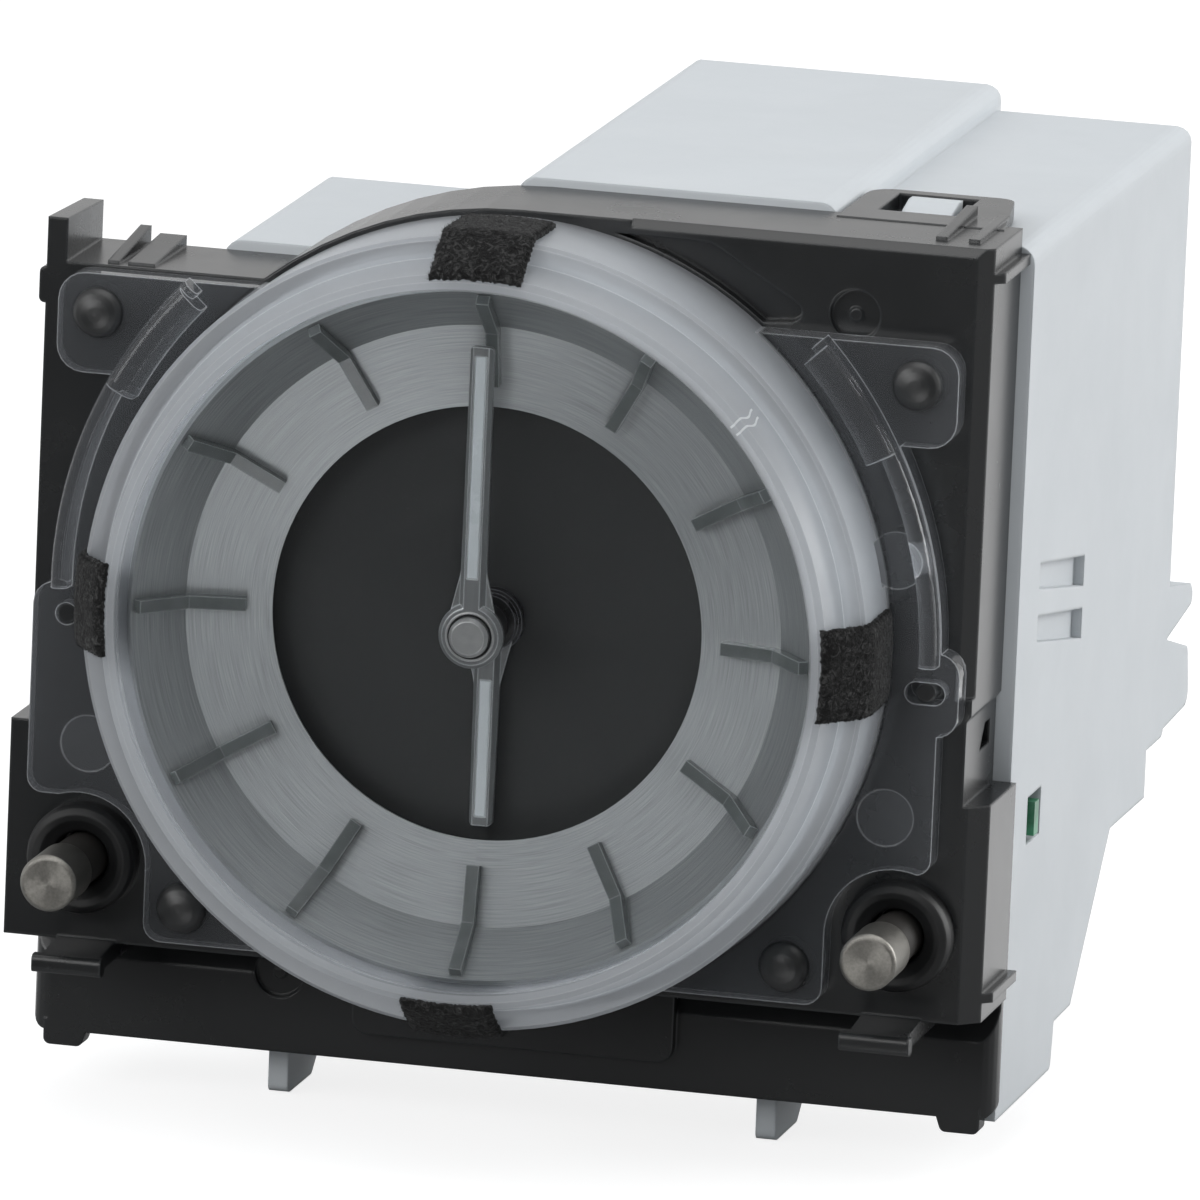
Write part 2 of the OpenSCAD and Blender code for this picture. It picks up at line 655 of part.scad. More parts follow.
// Thin leg under the cover, cut flat at its foot
module leg(s) {
    along_x(s * leg_x - leg_t / 2, s * leg_x + leg_t / 2)
        polygon(rounded([[rim_y + 2.8, -cover_bottom + 0.5], [rim_y + 2.8, -leg_bottom, 0.8],
            [rim_y + 11, -leg_bottom, 0.8], [rim_y + 17, -cover_bottom + 0.5]]));
}

// Two fins behind the right-hand wall that guide the clock into its bracket
module guide_fins() {
    along_x(cover_right - 3, cover_right) {
        polygon(rounded([[rim_y + tall_depth - 1, -8.2], [rim_y + tall_depth + 9, -9.8, 0.8],
            [rim_y + tall_depth + 11, -11.6, 0.8], [rim_y + tall_depth - 1, -13.2]]));
        polygon(rounded([[rim_y + tall_depth - 1, -13], [rim_y + tall_depth + 9, -15.6, 1],
            [rim_y + tall_depth + 10.4, -21, 1.4], [rim_y + tall_depth - 1, -21.4]]));
    }
}

// Wedge on the right box that snaps into the window of the lug
module latch_hook() {
    catch_y = rim_y + lug_reach - 2;
    along_x(lug_window[0] + 1.2, lug_window[1] - 1.4)
        polygon([[rim_y + 2.8, right_box_top - 0.5], [catch_y, right_box_top - 0.5], [catch_y, lug_z1 - 0.1],
            [catch_y - 1.4, lug_z1 - 0.1], [rim_y + 2.8, right_box_top + 0.2]]);
}

// Sunk slanted louvres in the right-hand wall
module louvres() {
    for (z = [4.4, -0.3])
        along_x(cover_right - 0.9, cover_right + 1)
            polygon([[rim_y + 8, z], [rim_y + 8, z - 2.3], [rim_y + 26, z - 5.5], [rim_y + 26, z - 2.8]]);
}

module lens() color("#c9d3d8", 0.4) {
    difference() {
        union() {
            revolve_y() polygon([[0, -lens_front], [lens_front_r - 0.6, -lens_front],
                [lens_front_r, -lens_front + 0.45], [lens_step_r, -lens_step], [lens_r - 0.35, -lens_step],
                [lens_r, -lens_step + 0.35], [lens_r, plate_y], [lens_inner_r, plate_y],
                [lens_inner_r, -lens_step + 1.5], [lens_front_inner_r, -lens_step + 1.5],
                [lens_front_inner_r, -lens_front + window_t], [0, -lens_front + window_t]]);
            along_y(flange_y, plate_y) flange_outline();
            difference() {
                union() {
                    for (a = [46, 269]) revolve_y(a, a + 45)
                        bead(flange_r - bead_w, flange_r - 0.15, bead_h, bead_w * 0.42);
                    for (a = [47, 297]) revolve_y(a, a + 16)
                        bead(flange_r - bead_w - 1.3, flange_r - 0.3, bead_h + 0.6, bead_w * 0.6);
                }
                felt_room();
            }
        }
        for (spot = post_spots) bar(spot, post_r + run_gap, flange_y - 1, plate_y + 1);
        bar([-locator_x, -locator_drop], locator_r, flange_y - 1, plate_y + 1);
        for (x = [-0.8, 0.8]) bar([locator_x + x, -locator_drop], locator_r, flange_y - 1, plate_y + 1);
        along_y(flange_y - 1, plate_y + 1)
            rect(locator_x - 0.8, -locator_drop - locator_r, locator_x + 0.8, -locator_drop + locator_r);
        for (spot = [[-35.8, -14.5], [35.2, -14.4], [35.2, 8.2]]) bar(spot, 2.5, flange_y - 1,
            flange_y + 0.15);
    }
}

// Room along the lens wall that the ridges leave to the felt
module felt_room() {
    for (a = [90, 270]) rotate([0, a, 0])
        translate([-felt_w / 2 - run_gap, -lens_front, lens_inner_r])
            cube([felt_w + 2 * run_gap, flange_y + lens_front, lens_wall + felt_t + run_gap]);
}

// Section of a ridge on the flange between two radii, rounded along its top
module bead(r0, r1, rise, round) {
    polygon(rounded([[r0, flange_y + 0.1], [r0, flange_y - rise, round], [r1, flange_y - rise, round],
        [r1, flange_y + 0.1]], 6));
}

// Clear flange: a round plate with two ears, side tabs and lower pads, cut back round the boots
module flange_outline() {
    difference() {
        union() {
            intersection() {
                circle(flange_r);
                rect(-flange_r, -flange_bottom, flange_r, ear_top);
            }
            for (s = [0, 1]) mirror([s, 0]) {
                polygon(rounded([[26, ear_bottom], [ear_half_w, ear_bottom, 2.4], [ear_half_w, ear_top, 2.4],
                    [26, ear_top]]));
                polygon(rounded([[20, -flange_bottom], [pad_half_w, -flange_bottom, 1.6],
                    [pad_half_w, -16], [20, -16]]));
            }
            polygon(rounded([[30, -7], [tab_half_w, -7, 2], [tab_half_w, 0.4, 2], [30, 0.4]]));
            polygon(rounded([[26, -tab_bottom], [tab_half_w - 1.8, -tab_bottom, 1.4],
                [tab_half_w - 1.8, -5], [26, -5]]));
            polygon(rounded([[-26, -tab_bottom], [-26, -0.4], [-tab_half_w, -0.4, 2],
                [-tab_half_w, -tab_bottom, 1.4]]));
        }
        circle(lens_inner_r);
        for (spot = button_spots) translate(spot) circle(boot_clear_r);
    }
}

// Strips of felt wrapped over the lens's front step, one at each quarter
module felt_pads() color("#1c1c1b") {
    wide_r = max(lens_r, lens_step_r) + seat_gap;
    path = [[lens_front_r + 0.1, -lens_front + 0.5], [wide_r + 0.1, -lens_step + 0.2],
        [wide_r, flange_y - 0.3]];
    intersection() {
        revolve_y() polygon(band(path, felt_t));
        union() {
            for (a = [0, 90, 180, 270]) rotate([0, a, 0])
                translate([-felt_w / 2, -lens_front - 2, 20]) cube([felt_w, 20, 20]);
        }
    }
}

ring_path = [[ring_inner_r, 0], [ring_bend_r, -ring_bend_rise], [ring_outer_r, -ring_outer_rise]];

module chapter_ring() color("#9a9f9e") revolve_y() polygon(band(ring_path, -ring_t));

module dial_disc() color("#26292a") along_y(disc_recess, disc_back) difference() {
    circle(disc_r);
    circle(pipe_r + drop_gap);
}

// Bent bars that follow the ring and its rim
module hour_markers() color("#565c5b") {
    rim_dir = unit(ring_path[2] - ring_path[1]);
    flat_dir = unit(ring_path[1] - ring_path[0]);
    start = ring_path[0] + flat_dir * (marker_inner_r - ring_inner_r) / flat_dir[0] + [0, -seat_gap];
    bend = ring_path[1] + [-seat_gap, -seat_gap];
    stop = ring_path[2] - rim_dir * marker_end_gap + [-seat_gap, -seat_gap];
    for (k = [0:marker_count - 1]) rotate([0, 360 * k / marker_count, 0])
        along_x(-marker_w / 2, marker_w / 2)
            polygon([for (p = band([start, bend, stop], marker_h)) [p[1], p[0]]]);
}

// White diffuser that carries the ring and the disc inside the lens
module dial_carrier() color("#e4e6e4") {
    back = band(ring_path, -ring_t - seat_gap);
    rim = back[3];
    knee = back[4];
    revolve_y() polygon([[pipe_r + 1.5, disc_back], [disc_r + drop_gap, disc_back],
        [disc_r + drop_gap, ring_t + seat_gap - ring_bend_rise * (disc_r + drop_gap - ring_inner_r)
            / (ring_bend_r - ring_inner_r)],
        knee, [rim[0], rim[1] + 0.4], [rim[0], -lens_step + 2.2], [carrier_r, -lens_step + 2.2],
        [carrier_r, plate_back], [pipe_r + 1.5, plate_back]]);
}

// Blade of a hand: flared at the root, bevelled along both edges, grooved for its inlay
module hand_blade(length, width, y) {
    difference() {
        intersection() {
            along_y(y, y + hand_t)
                polygon(rounded([[-hub_r * 0.72, 1.6], [hub_r * 0.72, 1.6], [width / 2, hub_r + 2.6, 3],
                    [width / 2 - 0.12, length, 0.4], [-width / 2 + 0.12, length, 0.4],
                        [-width / 2, hub_r + 2.6, 3]]));
            linear_extrude(length + 1)
                polygon([[-hub_r, y + hand_t], [hub_r, y + hand_t], [width / 2, y + hand_t * 0.7],
                    [width / 2 - hand_bevel, y], [-width / 2 + hand_bevel, y],
                        [-width / 2, y + hand_t * 0.7]]);
        }
        along_y(y - 1, y + inlay_t) rect(-inlay_w / 2, hub_r + 2.2, inlay_w / 2, length - 0.8);
    }
}

module hand_inlay(length, y) {
    along_y(y + 0.02, y + inlay_t - 0.02)
        rect(-inlay_w / 2 + 0.02, hub_r + 2.22, inlay_w / 2 - 0.02, length - 0.82);
}

module minute_hand() color("#86898a") difference() {
    union() {
        hand_blade(minute_len, minute_w, -minute_rise);
        revolve_y() polygon([[0, -minute_rise], [hub_r - 0.35, -minute_rise], [hub_r, -minute_rise + 0.35],
            [hub_r, -minute_rise + hand_t], [0, -minute_rise + hand_t]]);
    }
    bar([0, 0], arbor_r + seat_gap, -minute_rise - 1, -minute_rise + hand_t + 1);
}

module minute_inlay() color("#c3c9ca") hand_inlay(minute_len, -minute_rise);

// Dark sleeve behind the minute hand
module minute_hub() color("#17181a") revolve_y()
    polygon([[arbor_r + seat_gap, -minute_rise + hand_t], [hub_r - 0.5, -minute_rise + hand_t],
        [hub_r - 0.9, -hour_drop], [arbor_r + seat_gap, -hour_drop]]);

module hub_cap() color("#a9abab") revolve_y()
    polygon([[0, -minute_rise - cap_h], [cap_r - 0.3, -minute_rise - cap_h],
        [cap_r, -minute_rise - cap_h + 0.3],
        [cap_r, -minute_rise], [0, -minute_rise]]);

module hour_hand() color("#86898a") mirror([0, 0, 1]) difference() {
    hand_blade(hour_len, hour_w, hour_drop);
    bar([0, 0], hub_r - 0.35 + seat_gap, hour_drop - 1, hour_drop + hand_t + 1);
}

module hour_inlay() color("#c3c9ca") mirror([0, 0, 1]) hand_inlay(hour_len, hour_drop);

// Dark collar that grips the hour hand on its pipe
module hour_hub() color("#17181a") revolve_y()
    polygon([[pipe_r + seat_gap, hour_drop - 0.1], [hub_r - 0.35, hour_drop - 0.1],
        [hub_r - 0.35, hour_drop + hand_t + 0.05],
        [hub_r, hour_drop + hand_t + 0.05], [hub_r, disc_recess - 0.35],
            [pipe_r + seat_gap, disc_recess - 0.35]]);

cap_bore_r = button_r - 0.55;
cap_bore_len = button_cap_len - 1;

// Nickel cup on the front of a button
module button_cap(spot) color("#a9a59c") translate([spot[0], 0, spot[1]]) revolve_y()
    polygon([[0, -button_tip], [button_r - 0.3, -button_tip], [button_r, -button_tip + 0.3],
        [button_r, -button_tip + button_cap_len], [cap_bore_r, -button_tip + button_cap_len],
        [cap_bore_r, -button_tip + button_cap_len - cap_bore_len],
        [0, -button_tip + button_cap_len - cap_bore_len]]);

// Plunger that carries the cup through the case to its switch
module plunger(spot) color("#2b2c2e") {
    bar(spot, cap_bore_r - seat_gap, -button_tip + button_cap_len - cap_bore_len + 0.2,
        -button_tip + button_cap_len + 1);
    bar(spot, plunger_r, -button_tip + button_cap_len + 0.1, plunger_end);
    bar(spot, guide_bore_r + 0.9, collar_y, collar_y + collar_t);
}

// Rubber boot: a rounded ring with a sunk mouth, plugged into the plate
module boot(spot) color("#141516") translate([spot[0], plate_y, spot[1]]) revolve_y()
    polygon([[plunger_r + 0.25, plate_t - 0.1], [neck_r, plate_t - 0.1], [neck_r, 0], [boot_r, 0],
        [boot_r, -boot_h + 0.9],
        [boot_r - 0.25, -boot_h + 0.35], [boot_r - 0.75, -boot_h], [boot_r - 1.3, -boot_h + 0.12],
        [boot_r - 1.8, -boot_h + 0.5], [plunger_r + 0.4, -boot_h + 0.8], [plunger_r + 0.25, -boot_h + 1.1]]);

// Push switch on the front of the board
module tact_switch(spot) color("#3a3c3f") {
    along_y(switch_tip + 0.7, board_y) translate(spot) square(6, center = true);
    bar(spot, 1.7, switch_tip, switch_tip + 0.8);
}

module left_button_cap() button_cap(button_spots[0]);
module right_button_cap() button_cap(button_spots[1]);
module left_plunger() plunger(button_spots[0]);
module right_plunger() plunger(button_spots[1]);
module left_boot() boot(button_spots[0]);
module right_boot() boot(button_spots[1]);
module left_switch() tact_switch(button_spots[0]);
module right_switch() tact_switch(button_spots[1]);

board_half_w = case_half_w - wall - 0.4;

module circuit_board() color("#1f6b47") along_y(board_y, board_rear) difference() {
    union() {
        polygon(rounded([[-board_half_w, -board_bottom, 1.5], [board_half_w, -board_bottom, 1.5],
            [board_half_w, board_top, 1.5], [-board_half_w, board_top, 1.5]]));
        rect(board_half_w - 2, window_z - tab_w / 2, cover_right + 0.4, window_z + tab_w / 2);
    }
    for (spot = boss_spots) translate(spot) circle(screw_r + 0.15);
}

module board_screws() color("#b9bcbe") for (spot = boss_spots) {
    bar(spot, screw_r, board_y - 7, board_rear + 0.1);
    difference() {
        bar(spot, 2.1, board_rear, board_rear + 1.5);
        bar(spot, 0.9, board_rear + 0.7, board_rear + 2);
    }
}

module movement_outline() {
    polygon(rounded([[movement_left, movement_bottom, 2.5], [movement_right, movement_bottom, 2.5],
        [movement_right, movement_top, 2.5], [movement_left, movement_top, 2.5]]));
}

// Front plate with the stud on which the motion wheel turns
module movement_front_plate() color("#e9e6dc") {
    along_y(mfront_y, mfront_back) difference() {
        movement_outline();
        circle(pipe_r + run_gap);
        for (spot = [inter_pos, rotor_pos]) translate(spot) circle(pivot_r + run_gap);
        for (spot = pillar_spots) translate(spot) circle(0.9);
    }
    bar(motion_pos, pivot_r, mfront_back - 0.1, motion_wheel_y + wheel_t + 0.4);
}

module movement_back_plate() color("#e9e6dc") {
    difference() {
        along_y(mback_y, mback_rear) movement_outline();
        for (spot = [[0, 0], inter_pos, rotor_pos]) bar(spot, pivot_r + run_gap, mback_y - 1, mback_rear + 1);
    }
    for (spot = pillar_spots) bar(spot, 1.8, mback_rear - 0.1, board_y);
}

module movement_pillars() color("#b99a55") for (spot = pillar_spots) difference() {
    bar(spot, pillar_r, mfront_back, mback_y);
    bar(spot, 0.85, mfront_back - 1, mfront_back + 6);
}

module movement_screws() color("#b9bcbe") for (spot = pillar_spots) {
    bar(spot, 0.8, mfront_y - 0.1, mfront_back + 5);
    bar(spot, 1.7, mfront_y - head_h, mfront_y);
}

// Steel arbor from the minute hand to the back plate
module minute_arbor() color("#c2c4c6") {
    bar([0, 0], arbor_r, -minute_rise + 0.1, mback_y - end_shake);
    bar([0, 0], pivot_r, mback_y - end_shake - 0.1, mback_rear);
}

inter_phase = mesh(-90, 0, centre_teeth, pinion_teeth);
rotor_phase = mesh(180, 0, inter_teeth, pinion_teeth);
motion_phase = mesh(0, 0, cannon_teeth, motion_teeth);
hour_phase = mesh(180, 0, pinion_teeth, hour_teeth);

module toothed(spot, n, m, phase, y0, y1) {
    along_y(y0, y1) polygon(at(spot, gear(n, m, phase)));
}

// Centre wheel with the cannon pinion in front of it
module centre_wheel() color("#e8e4d2") difference() {
    union() {
        toothed([0, 0], centre_teeth, train_module, 0, centre_wheel_y, centre_wheel_y + wheel_t);
        toothed([0, 0], cannon_teeth, train_module, 0, motion_wheel_y - 0.1, centre_wheel_y + 0.1);
    }
    bar([0, 0], arbor_r + seat_gap, motion_wheel_y - 1, centre_wheel_y + wheel_t + 1);
    for (k = [0:4]) rotate([0, 72 * k, 0]) bar([0, 7], 2.6, centre_wheel_y - 1, centre_wheel_y + wheel_t + 1);
}

// Motion wheel and its pinion, which slow the minute hand twelvefold for the hour wheel
module motion_wheel() color("#e8e4d2") difference() {
    union() {
        toothed(motion_pos, motion_teeth, train_module, motion_phase, motion_wheel_y,
            motion_wheel_y + wheel_t);
        toothed(motion_pos, pinion_teeth, hour_module, 0, hour_wheel_y, motion_wheel_y + 0.1);
    }
    bar(motion_pos, pivot_r + run_gap, hour_wheel_y - 1, motion_wheel_y + wheel_t + 1);
}

// Hour wheel on its pipe, which carries the hour hand
module hour_wheel() color("#e8e4d2") difference() {
    union() {
        toothed([0, 0], hour_teeth, hour_module, hour_phase, hour_wheel_y, hour_wheel_y + wheel_t);
        bar([0, 0], pipe_r, hour_drop - 0.1, hour_wheel_y + 0.1);
    }
    bar([0, 0], arbor_r + run_gap, hour_drop - 1, hour_wheel_y + wheel_t + 1);
}

module intermediate_wheel() color("#e8e4d2") {
    toothed(inter_pos, inter_teeth, train_module, 0, inter_wheel_y, inter_wheel_y + wheel_t);
    toothed(inter_pos, pinion_teeth, train_module, inter_phase, centre_wheel_y - 0.2, inter_wheel_y + 0.1);
    bar(inter_pos, pivot_r + 0.3, mfront_back + end_shake, centre_wheel_y);
    bar(inter_pos, pivot_r, mfront_y + 0.2, mfront_back + end_shake + 0.1);
    bar(inter_pos, pivot_r + 0.3, inter_wheel_y + wheel_t - 0.1, mback_y - end_shake);
    bar(inter_pos, pivot_r, mback_y - end_shake - 0.1, mback_rear - 0.2);
}

// Magnet and pinion of the stepping motor
module rotor() color("#55585c") {
    toothed(rotor_pos, pinion_teeth, train_module, rotor_phase, inter_wheel_y - 0.2, rotor_magnet_y + 0.1);
    bar(rotor_pos, magnet_r, rotor_magnet_y, rotor_magnet_y + magnet_t);
    bar(rotor_pos, pivot_r + 0.3, mfront_back + end_shake, inter_wheel_y);
    bar(rotor_pos, pivot_r, mfront_y + 0.2, mfront_back + end_shake + 0.1);
    bar(rotor_pos, pivot_r + 0.3, rotor_magnet_y + magnet_t - 0.1, mback_y - end_shake);
    bar(rotor_pos, pivot_r, mback_y - end_shake - 0.1, mback_rear - 0.2);
}

stator_y = rotor_magnet_y + (magnet_t - stator_t) / 2;
core_w = 3;

// Soft iron yoke round the magnet, closed through the coil below it
module stator() color("#8d9196") along_y(stator_y, stator_y + stator_t) translate(rotor_pos) difference() {
    union() {
        circle(magnet_r + 3);
        rect(-yoke_half, -1.5, yoke_half, 1.5);
        rect(-yoke_half, coil_z - rotor_pos[1] - core_w / 2, yoke_half, coil_z - rotor_pos[1] + core_w / 2);
        for (x = [-yoke_half, coil_half]) rect(x, coil_z - rotor_pos[1], x + yoke_half - coil_half, 0);
    }
    circle(magnet_r + 0.4);
}

coil_cheek = 3;
coil_r = 2.6;

module coil_bobbin() color("#3c6a4a") translate([rotor_pos[0],
    stator_y + stator_t / 2, coil_z]) rotate([0, 90, 0]) difference() {
    union() {
        translate([0, 0, -coil_half + 0.3]) cylinder(r = 2.1, h = 2 * coil_half - 0.6);
        for (s = [-1, 1]) translate([0, 0, s * (coil_half - 0.9) - 0.5]) cylinder(r = coil_cheek, h = 1);
    }
    cube([core_w + 2 * seat_gap, stator_t + 2 * seat_gap, 4 * coil_half], center = true);
}

module coil_winding() color("#a4562c") translate([rotor_pos[0],
    stator_y + stator_t / 2, coil_z]) rotate([0, 90, 0]) difference() {
    translate([0, 0, -coil_half + 1.5]) cylinder(r = coil_r, h = 2 * coil_half - 3);
    translate([0, 0, -coil_half]) cylinder(r = 2.1 + seat_gap, h = 2 * coil_half);
}

// Open shroud on the back of the board, for the vehicle's plug
module connector_housing() color("#d8d4c6") difference() {
    along_y(board_rear, socket_end) translate([socket_x, socket_z])
        polygon(rounded([[-socket_w / 2, -socket_h / 2, 0.6], [socket_w / 2, -socket_h / 2, 0.6],
            [socket_w / 2, socket_h / 2, 0.6], [-socket_w / 2, socket_h / 2, 0.6]]));
    along_y(board_rear + 1.2, socket_end + 1) translate([socket_x, socket_z])
        square([socket_w - 2 * socket_wall, socket_h - 2 * socket_wall], center = true);
    for (k = [-1.5:1:1.5]) along_y(board_rear - 1, board_rear + 2) translate([socket_x, socket_z + 4 * k])
        square(0.64 + 2 * seat_gap, center = true);
}

module connector_pins() color("#c9b36a") for (k = [-1.5:1:1.5])
    along_y(board_rear, board_rear + 5) translate([socket_x, socket_z + 4 * k]) square(0.64, center = true);

// Lamps on the front of the board that light the dial through its carrier
module dial_lamps() color("#f2efe2") for (a = [33, 147, 205, 335])
    along_y(board_y - lamp_w * 0.45, board_y) rotate(a) translate([lamp_ring_r, 0]) rotate(-a)
        square([lamp_w, lamp_w * 0.75], center = true);

module quartz_crystal() color("#c7cacc") along_y(board_rear, board_rear + crystal_len * 0.31)
    translate([chip_w * 0.8, board_top - crystal_len * 0.6])
        polygon(rounded([for (p = [[-1, -1], [1, -1], [1, 1], [-1, 1]])
            [p[0] * crystal_len / 2, p[1] * crystal_len * 0.21, crystal_len * 0.2]]));

module control_chip() color("#202224") along_y(board_rear,
    board_rear + chip_w * 0.16) translate([chip_w * 0.8, -chip_w * 0.2])
    polygon(rounded([for (p = [[-1, -1], [1, -1], [1, 1], [-1, 1]]) [p[0] * chip_w / 2,
        p[1] * chip_w / 2, 0.4]]));

module capacitors() color("#7c8085") for (spot = [[-12, 10], [-12, -2], [24, -8]])
    translate([spot[0], board_rear, spot[1]]) rotate([-90, 0, 0]) rotate_extrude()
        polygon([[0, 0], [can_r, 0], [can_r, can_h * 0.93], [can_r * 0.9, can_h], [0, can_h]]);

front_case();
rear_cover();
lens();
felt_pads();
chapter_ring();
dial_disc();
hour_markers();
dial_carrier();
minute_hand();
minute_inlay();
minute_hub();
hub_cap();
hour_hand();
hour_inlay();
hour_hub();
left_button_cap();
right_button_cap();
left_plunger();
right_plunger();
left_boot();
right_boot();
left_switch();
right_switch();
circuit_board();
movement_front_plate();
movement_back_plate();
movement_pillars();
movement_screws();
minute_arbor();
centre_wheel();
motion_wheel();
hour_wheel();
intermediate_wheel();
rotor();
stator();
coil_bobbin();
coil_winding();
board_screws();
connector_housing();
connector_pins();
dial_lamps();
quartz_crystal();
control_chip();
capacitors();
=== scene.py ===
import json
import math
import random

import bmesh
import bpy
from mathutils import Matrix, Vector


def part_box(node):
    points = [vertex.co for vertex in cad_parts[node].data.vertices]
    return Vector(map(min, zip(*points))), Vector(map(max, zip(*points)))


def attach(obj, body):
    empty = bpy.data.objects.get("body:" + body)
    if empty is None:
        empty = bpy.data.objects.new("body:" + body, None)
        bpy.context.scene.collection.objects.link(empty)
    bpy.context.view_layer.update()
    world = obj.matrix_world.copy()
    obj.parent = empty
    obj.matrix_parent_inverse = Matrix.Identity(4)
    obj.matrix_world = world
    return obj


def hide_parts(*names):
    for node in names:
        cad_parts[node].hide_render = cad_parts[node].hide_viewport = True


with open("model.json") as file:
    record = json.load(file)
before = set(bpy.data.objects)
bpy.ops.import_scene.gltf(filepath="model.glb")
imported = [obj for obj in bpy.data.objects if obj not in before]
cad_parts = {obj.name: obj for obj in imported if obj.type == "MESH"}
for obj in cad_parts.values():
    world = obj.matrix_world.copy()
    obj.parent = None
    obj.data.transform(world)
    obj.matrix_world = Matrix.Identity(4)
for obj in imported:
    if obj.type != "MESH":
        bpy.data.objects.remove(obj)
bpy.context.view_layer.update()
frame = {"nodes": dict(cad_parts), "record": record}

MM = 0.001


# Node helpers

class Graph:
    """Short calls for making and joining the nodes of one shader tree."""

    def __init__(self, tree):
        self.tree = tree

    def new(self, kind, **props):
        node = self.tree.nodes.new("ShaderNode" + kind)
        for key, value in props.items():
            setattr(node, key, value)
        return node

    def put(self, socket, value):
        """Link a socket to another node's output, or set it to a plain value."""
        if hasattr(value, "is_output"):
            self.tree.links.new(value, socket)
        elif socket.type == "RGBA":
            socket.default_value = (*value, 1.0)
        else:
            socket.default_value = value

    def math(self, op, a, b=0.0):
        node = self.new("Math", operation=op)
        self.put(node.inputs[0], a)
        self.put(node.inputs[1], b)
        return node.outputs[0]

    def plus(self, a, b):
        return self.math("ADD", a, b)

    def times(self, a, b):
        return self.math("MULTIPLY", a, b)

    def range(self, value, low, high, to_low=0.0, to_high=1.0):
        """A value between low and high carried over to another range and held at its ends."""
        node = self.new("MapRange")
        ends = (("From Min", low), ("From Max", high), ("To Min", to_low), ("To Max", to_high))
        self.put(node.inputs["Value"], value)
        for key, end in ends:
            self.put(node.inputs[key], end)
        return node.outputs["Result"]

    def axes(self, vector):
        """The X, Y and Z of a vector."""
        node = self.new("SeparateXYZ")
        self.put(node.inputs[0], vector)
        return node.outputs["X"], node.outputs["Y"], node.outputs["Z"]

    def vector(self, x=0.0, y=0.0, z=0.0):
        node = self.new("CombineXYZ")
        for key, value in (("X", x), ("Y", y), ("Z", z)):
            self.put(node.inputs[key], value)
        return node.outputs["Vector"]

    def dot(self, a, b):
        node = self.new("VectorMath", operation="DOT_PRODUCT")
        self.put(node.inputs[0], a)
        self.put(node.inputs[1], b)
        return node.outputs["Value"]

    def blend(self, share, first, second):
        """Two shaders mixed, with this share of the second."""
        node = self.new("MixShader")
        self.put(node.inputs[0], share)
        self.put(node.inputs[1], first)
        self.put(node.inputs[2], second)
        return node.outputs["Shader"]

    def rays(self, *kinds):
        """1 for the named kinds of ray, 0 for the rest."""
        path = self.new("LightPath")
        seen = path.outputs[kinds[0]]
        for kind in kinds[1:]:
            seen = self.math("MAXIMUM", seen, path.outputs[kind])
        return seen


class Material(Graph):
    """A material whose nodes feed one Principled shader."""

    def __init__(self, name):
        self.mat = bpy.data.materials.new(name)
        self.mat.use_nodes = True
        super().__init__(self.mat.node_tree)
        self.bsdf = self.tree.nodes["Principled BSDF"]

    def set(self, **values):
        for key, value in values.items():
            self.put(self.bsdf.inputs[key.replace("_", " ")], value)

    def position(self):
        return self.new("TexCoord").outputs["Object"]

    def noise(self, scale, detail, rough, vector=None, distortion=0.0):
        node = self.new("TexNoise")
        self.put(node.inputs["Vector"], self.position() if vector is None else vector)
        for key, value in (("Scale", scale), ("Detail", detail), ("Roughness", rough),
                           ("Distortion", distortion)):
            self.put(node.inputs[key], value)
        return node.outputs["Fac"]

    def ramp(self, value, stops):
        """Colours at given values, blended between them."""
        node = self.new("ValToRGB")
        elements = node.color_ramp.elements
        while len(elements) < len(stops):
            elements.new(0.5)
        for element, (place, color) in zip(elements, stops):
            element.position = place
            element.color = (*color, 1.0)
        self.put(node.inputs["Fac"], value)
        return node.outputs["Color"]

    def mix(self, share, first, second):
        """Two colours mixed, with this share of the second."""
        node = self.new("Mix", data_type="RGBA", blend_type="MIX")
        self.put(node.inputs[0], share)
        self.put(node.inputs[6], first)
        self.put(node.inputs[7], second)
        return node.outputs[2]

    def bevel(self, radius_mm):
        node = self.new("Bevel", samples=4)
        self.put(node.inputs["Radius"], radius_mm * MM)
        return node.outputs["Normal"]

    def edge(self, bevel_normal):
        """0 on flat faces, 1 along rounded edges."""
        turned = self.dot(bevel_normal, self.new("NewGeometry").outputs["Normal"])
        return self.range(turned, 1.0, 0.8)

    def bump(self, height, strength, distance_mm, normal=None):
        node = self.new("Bump")
        self.put(node.inputs["Strength"], strength)
        self.put(node.inputs["Distance"], distance_mm * MM)
        self.put(node.inputs["Height"], height)
        if normal is not None:
            self.put(node.inputs["Normal"], normal)
        return node.outputs["Normal"]

    def near(self, spots, radius_mm):
        """1 within a radius of any of the (x, z) spots in millimetres, 0 elsewhere."""
        x, _, z = self.axes(self.position())
        least = 1.0
        for spot_x, spot_z in spots:
            dx = self.math("SUBTRACT", x, spot_x * MM)
            dz = self.math("SUBTRACT", z, spot_z * MM)
            gap = self.plus(self.times(dx, dx), self.times(dz, dz))
            least = self.math("MINIMUM", gap, least)
        return self.math("LESS_THAN", least, (radius_mm * MM) ** 2)

    def polar(self):
        """Distance from the dial axis in millimetres and the turn about it."""
        x, _, z = self.axes(self.position())
        r = self.math("SQRT", self.plus(self.times(x, x), self.times(z, z)))
        return self.times(r, 1 / MM), self.math("ARCTAN2", x, z)


# Materials

MID = (0.3, 0.7)  # the stretch of a noise in which most of its values lie
STAKES = [(-36.35, 23.6), (36.35, 23.6), (-26.9, -28.3), (26.9, -28.3)]
STAKE_R = 2.4

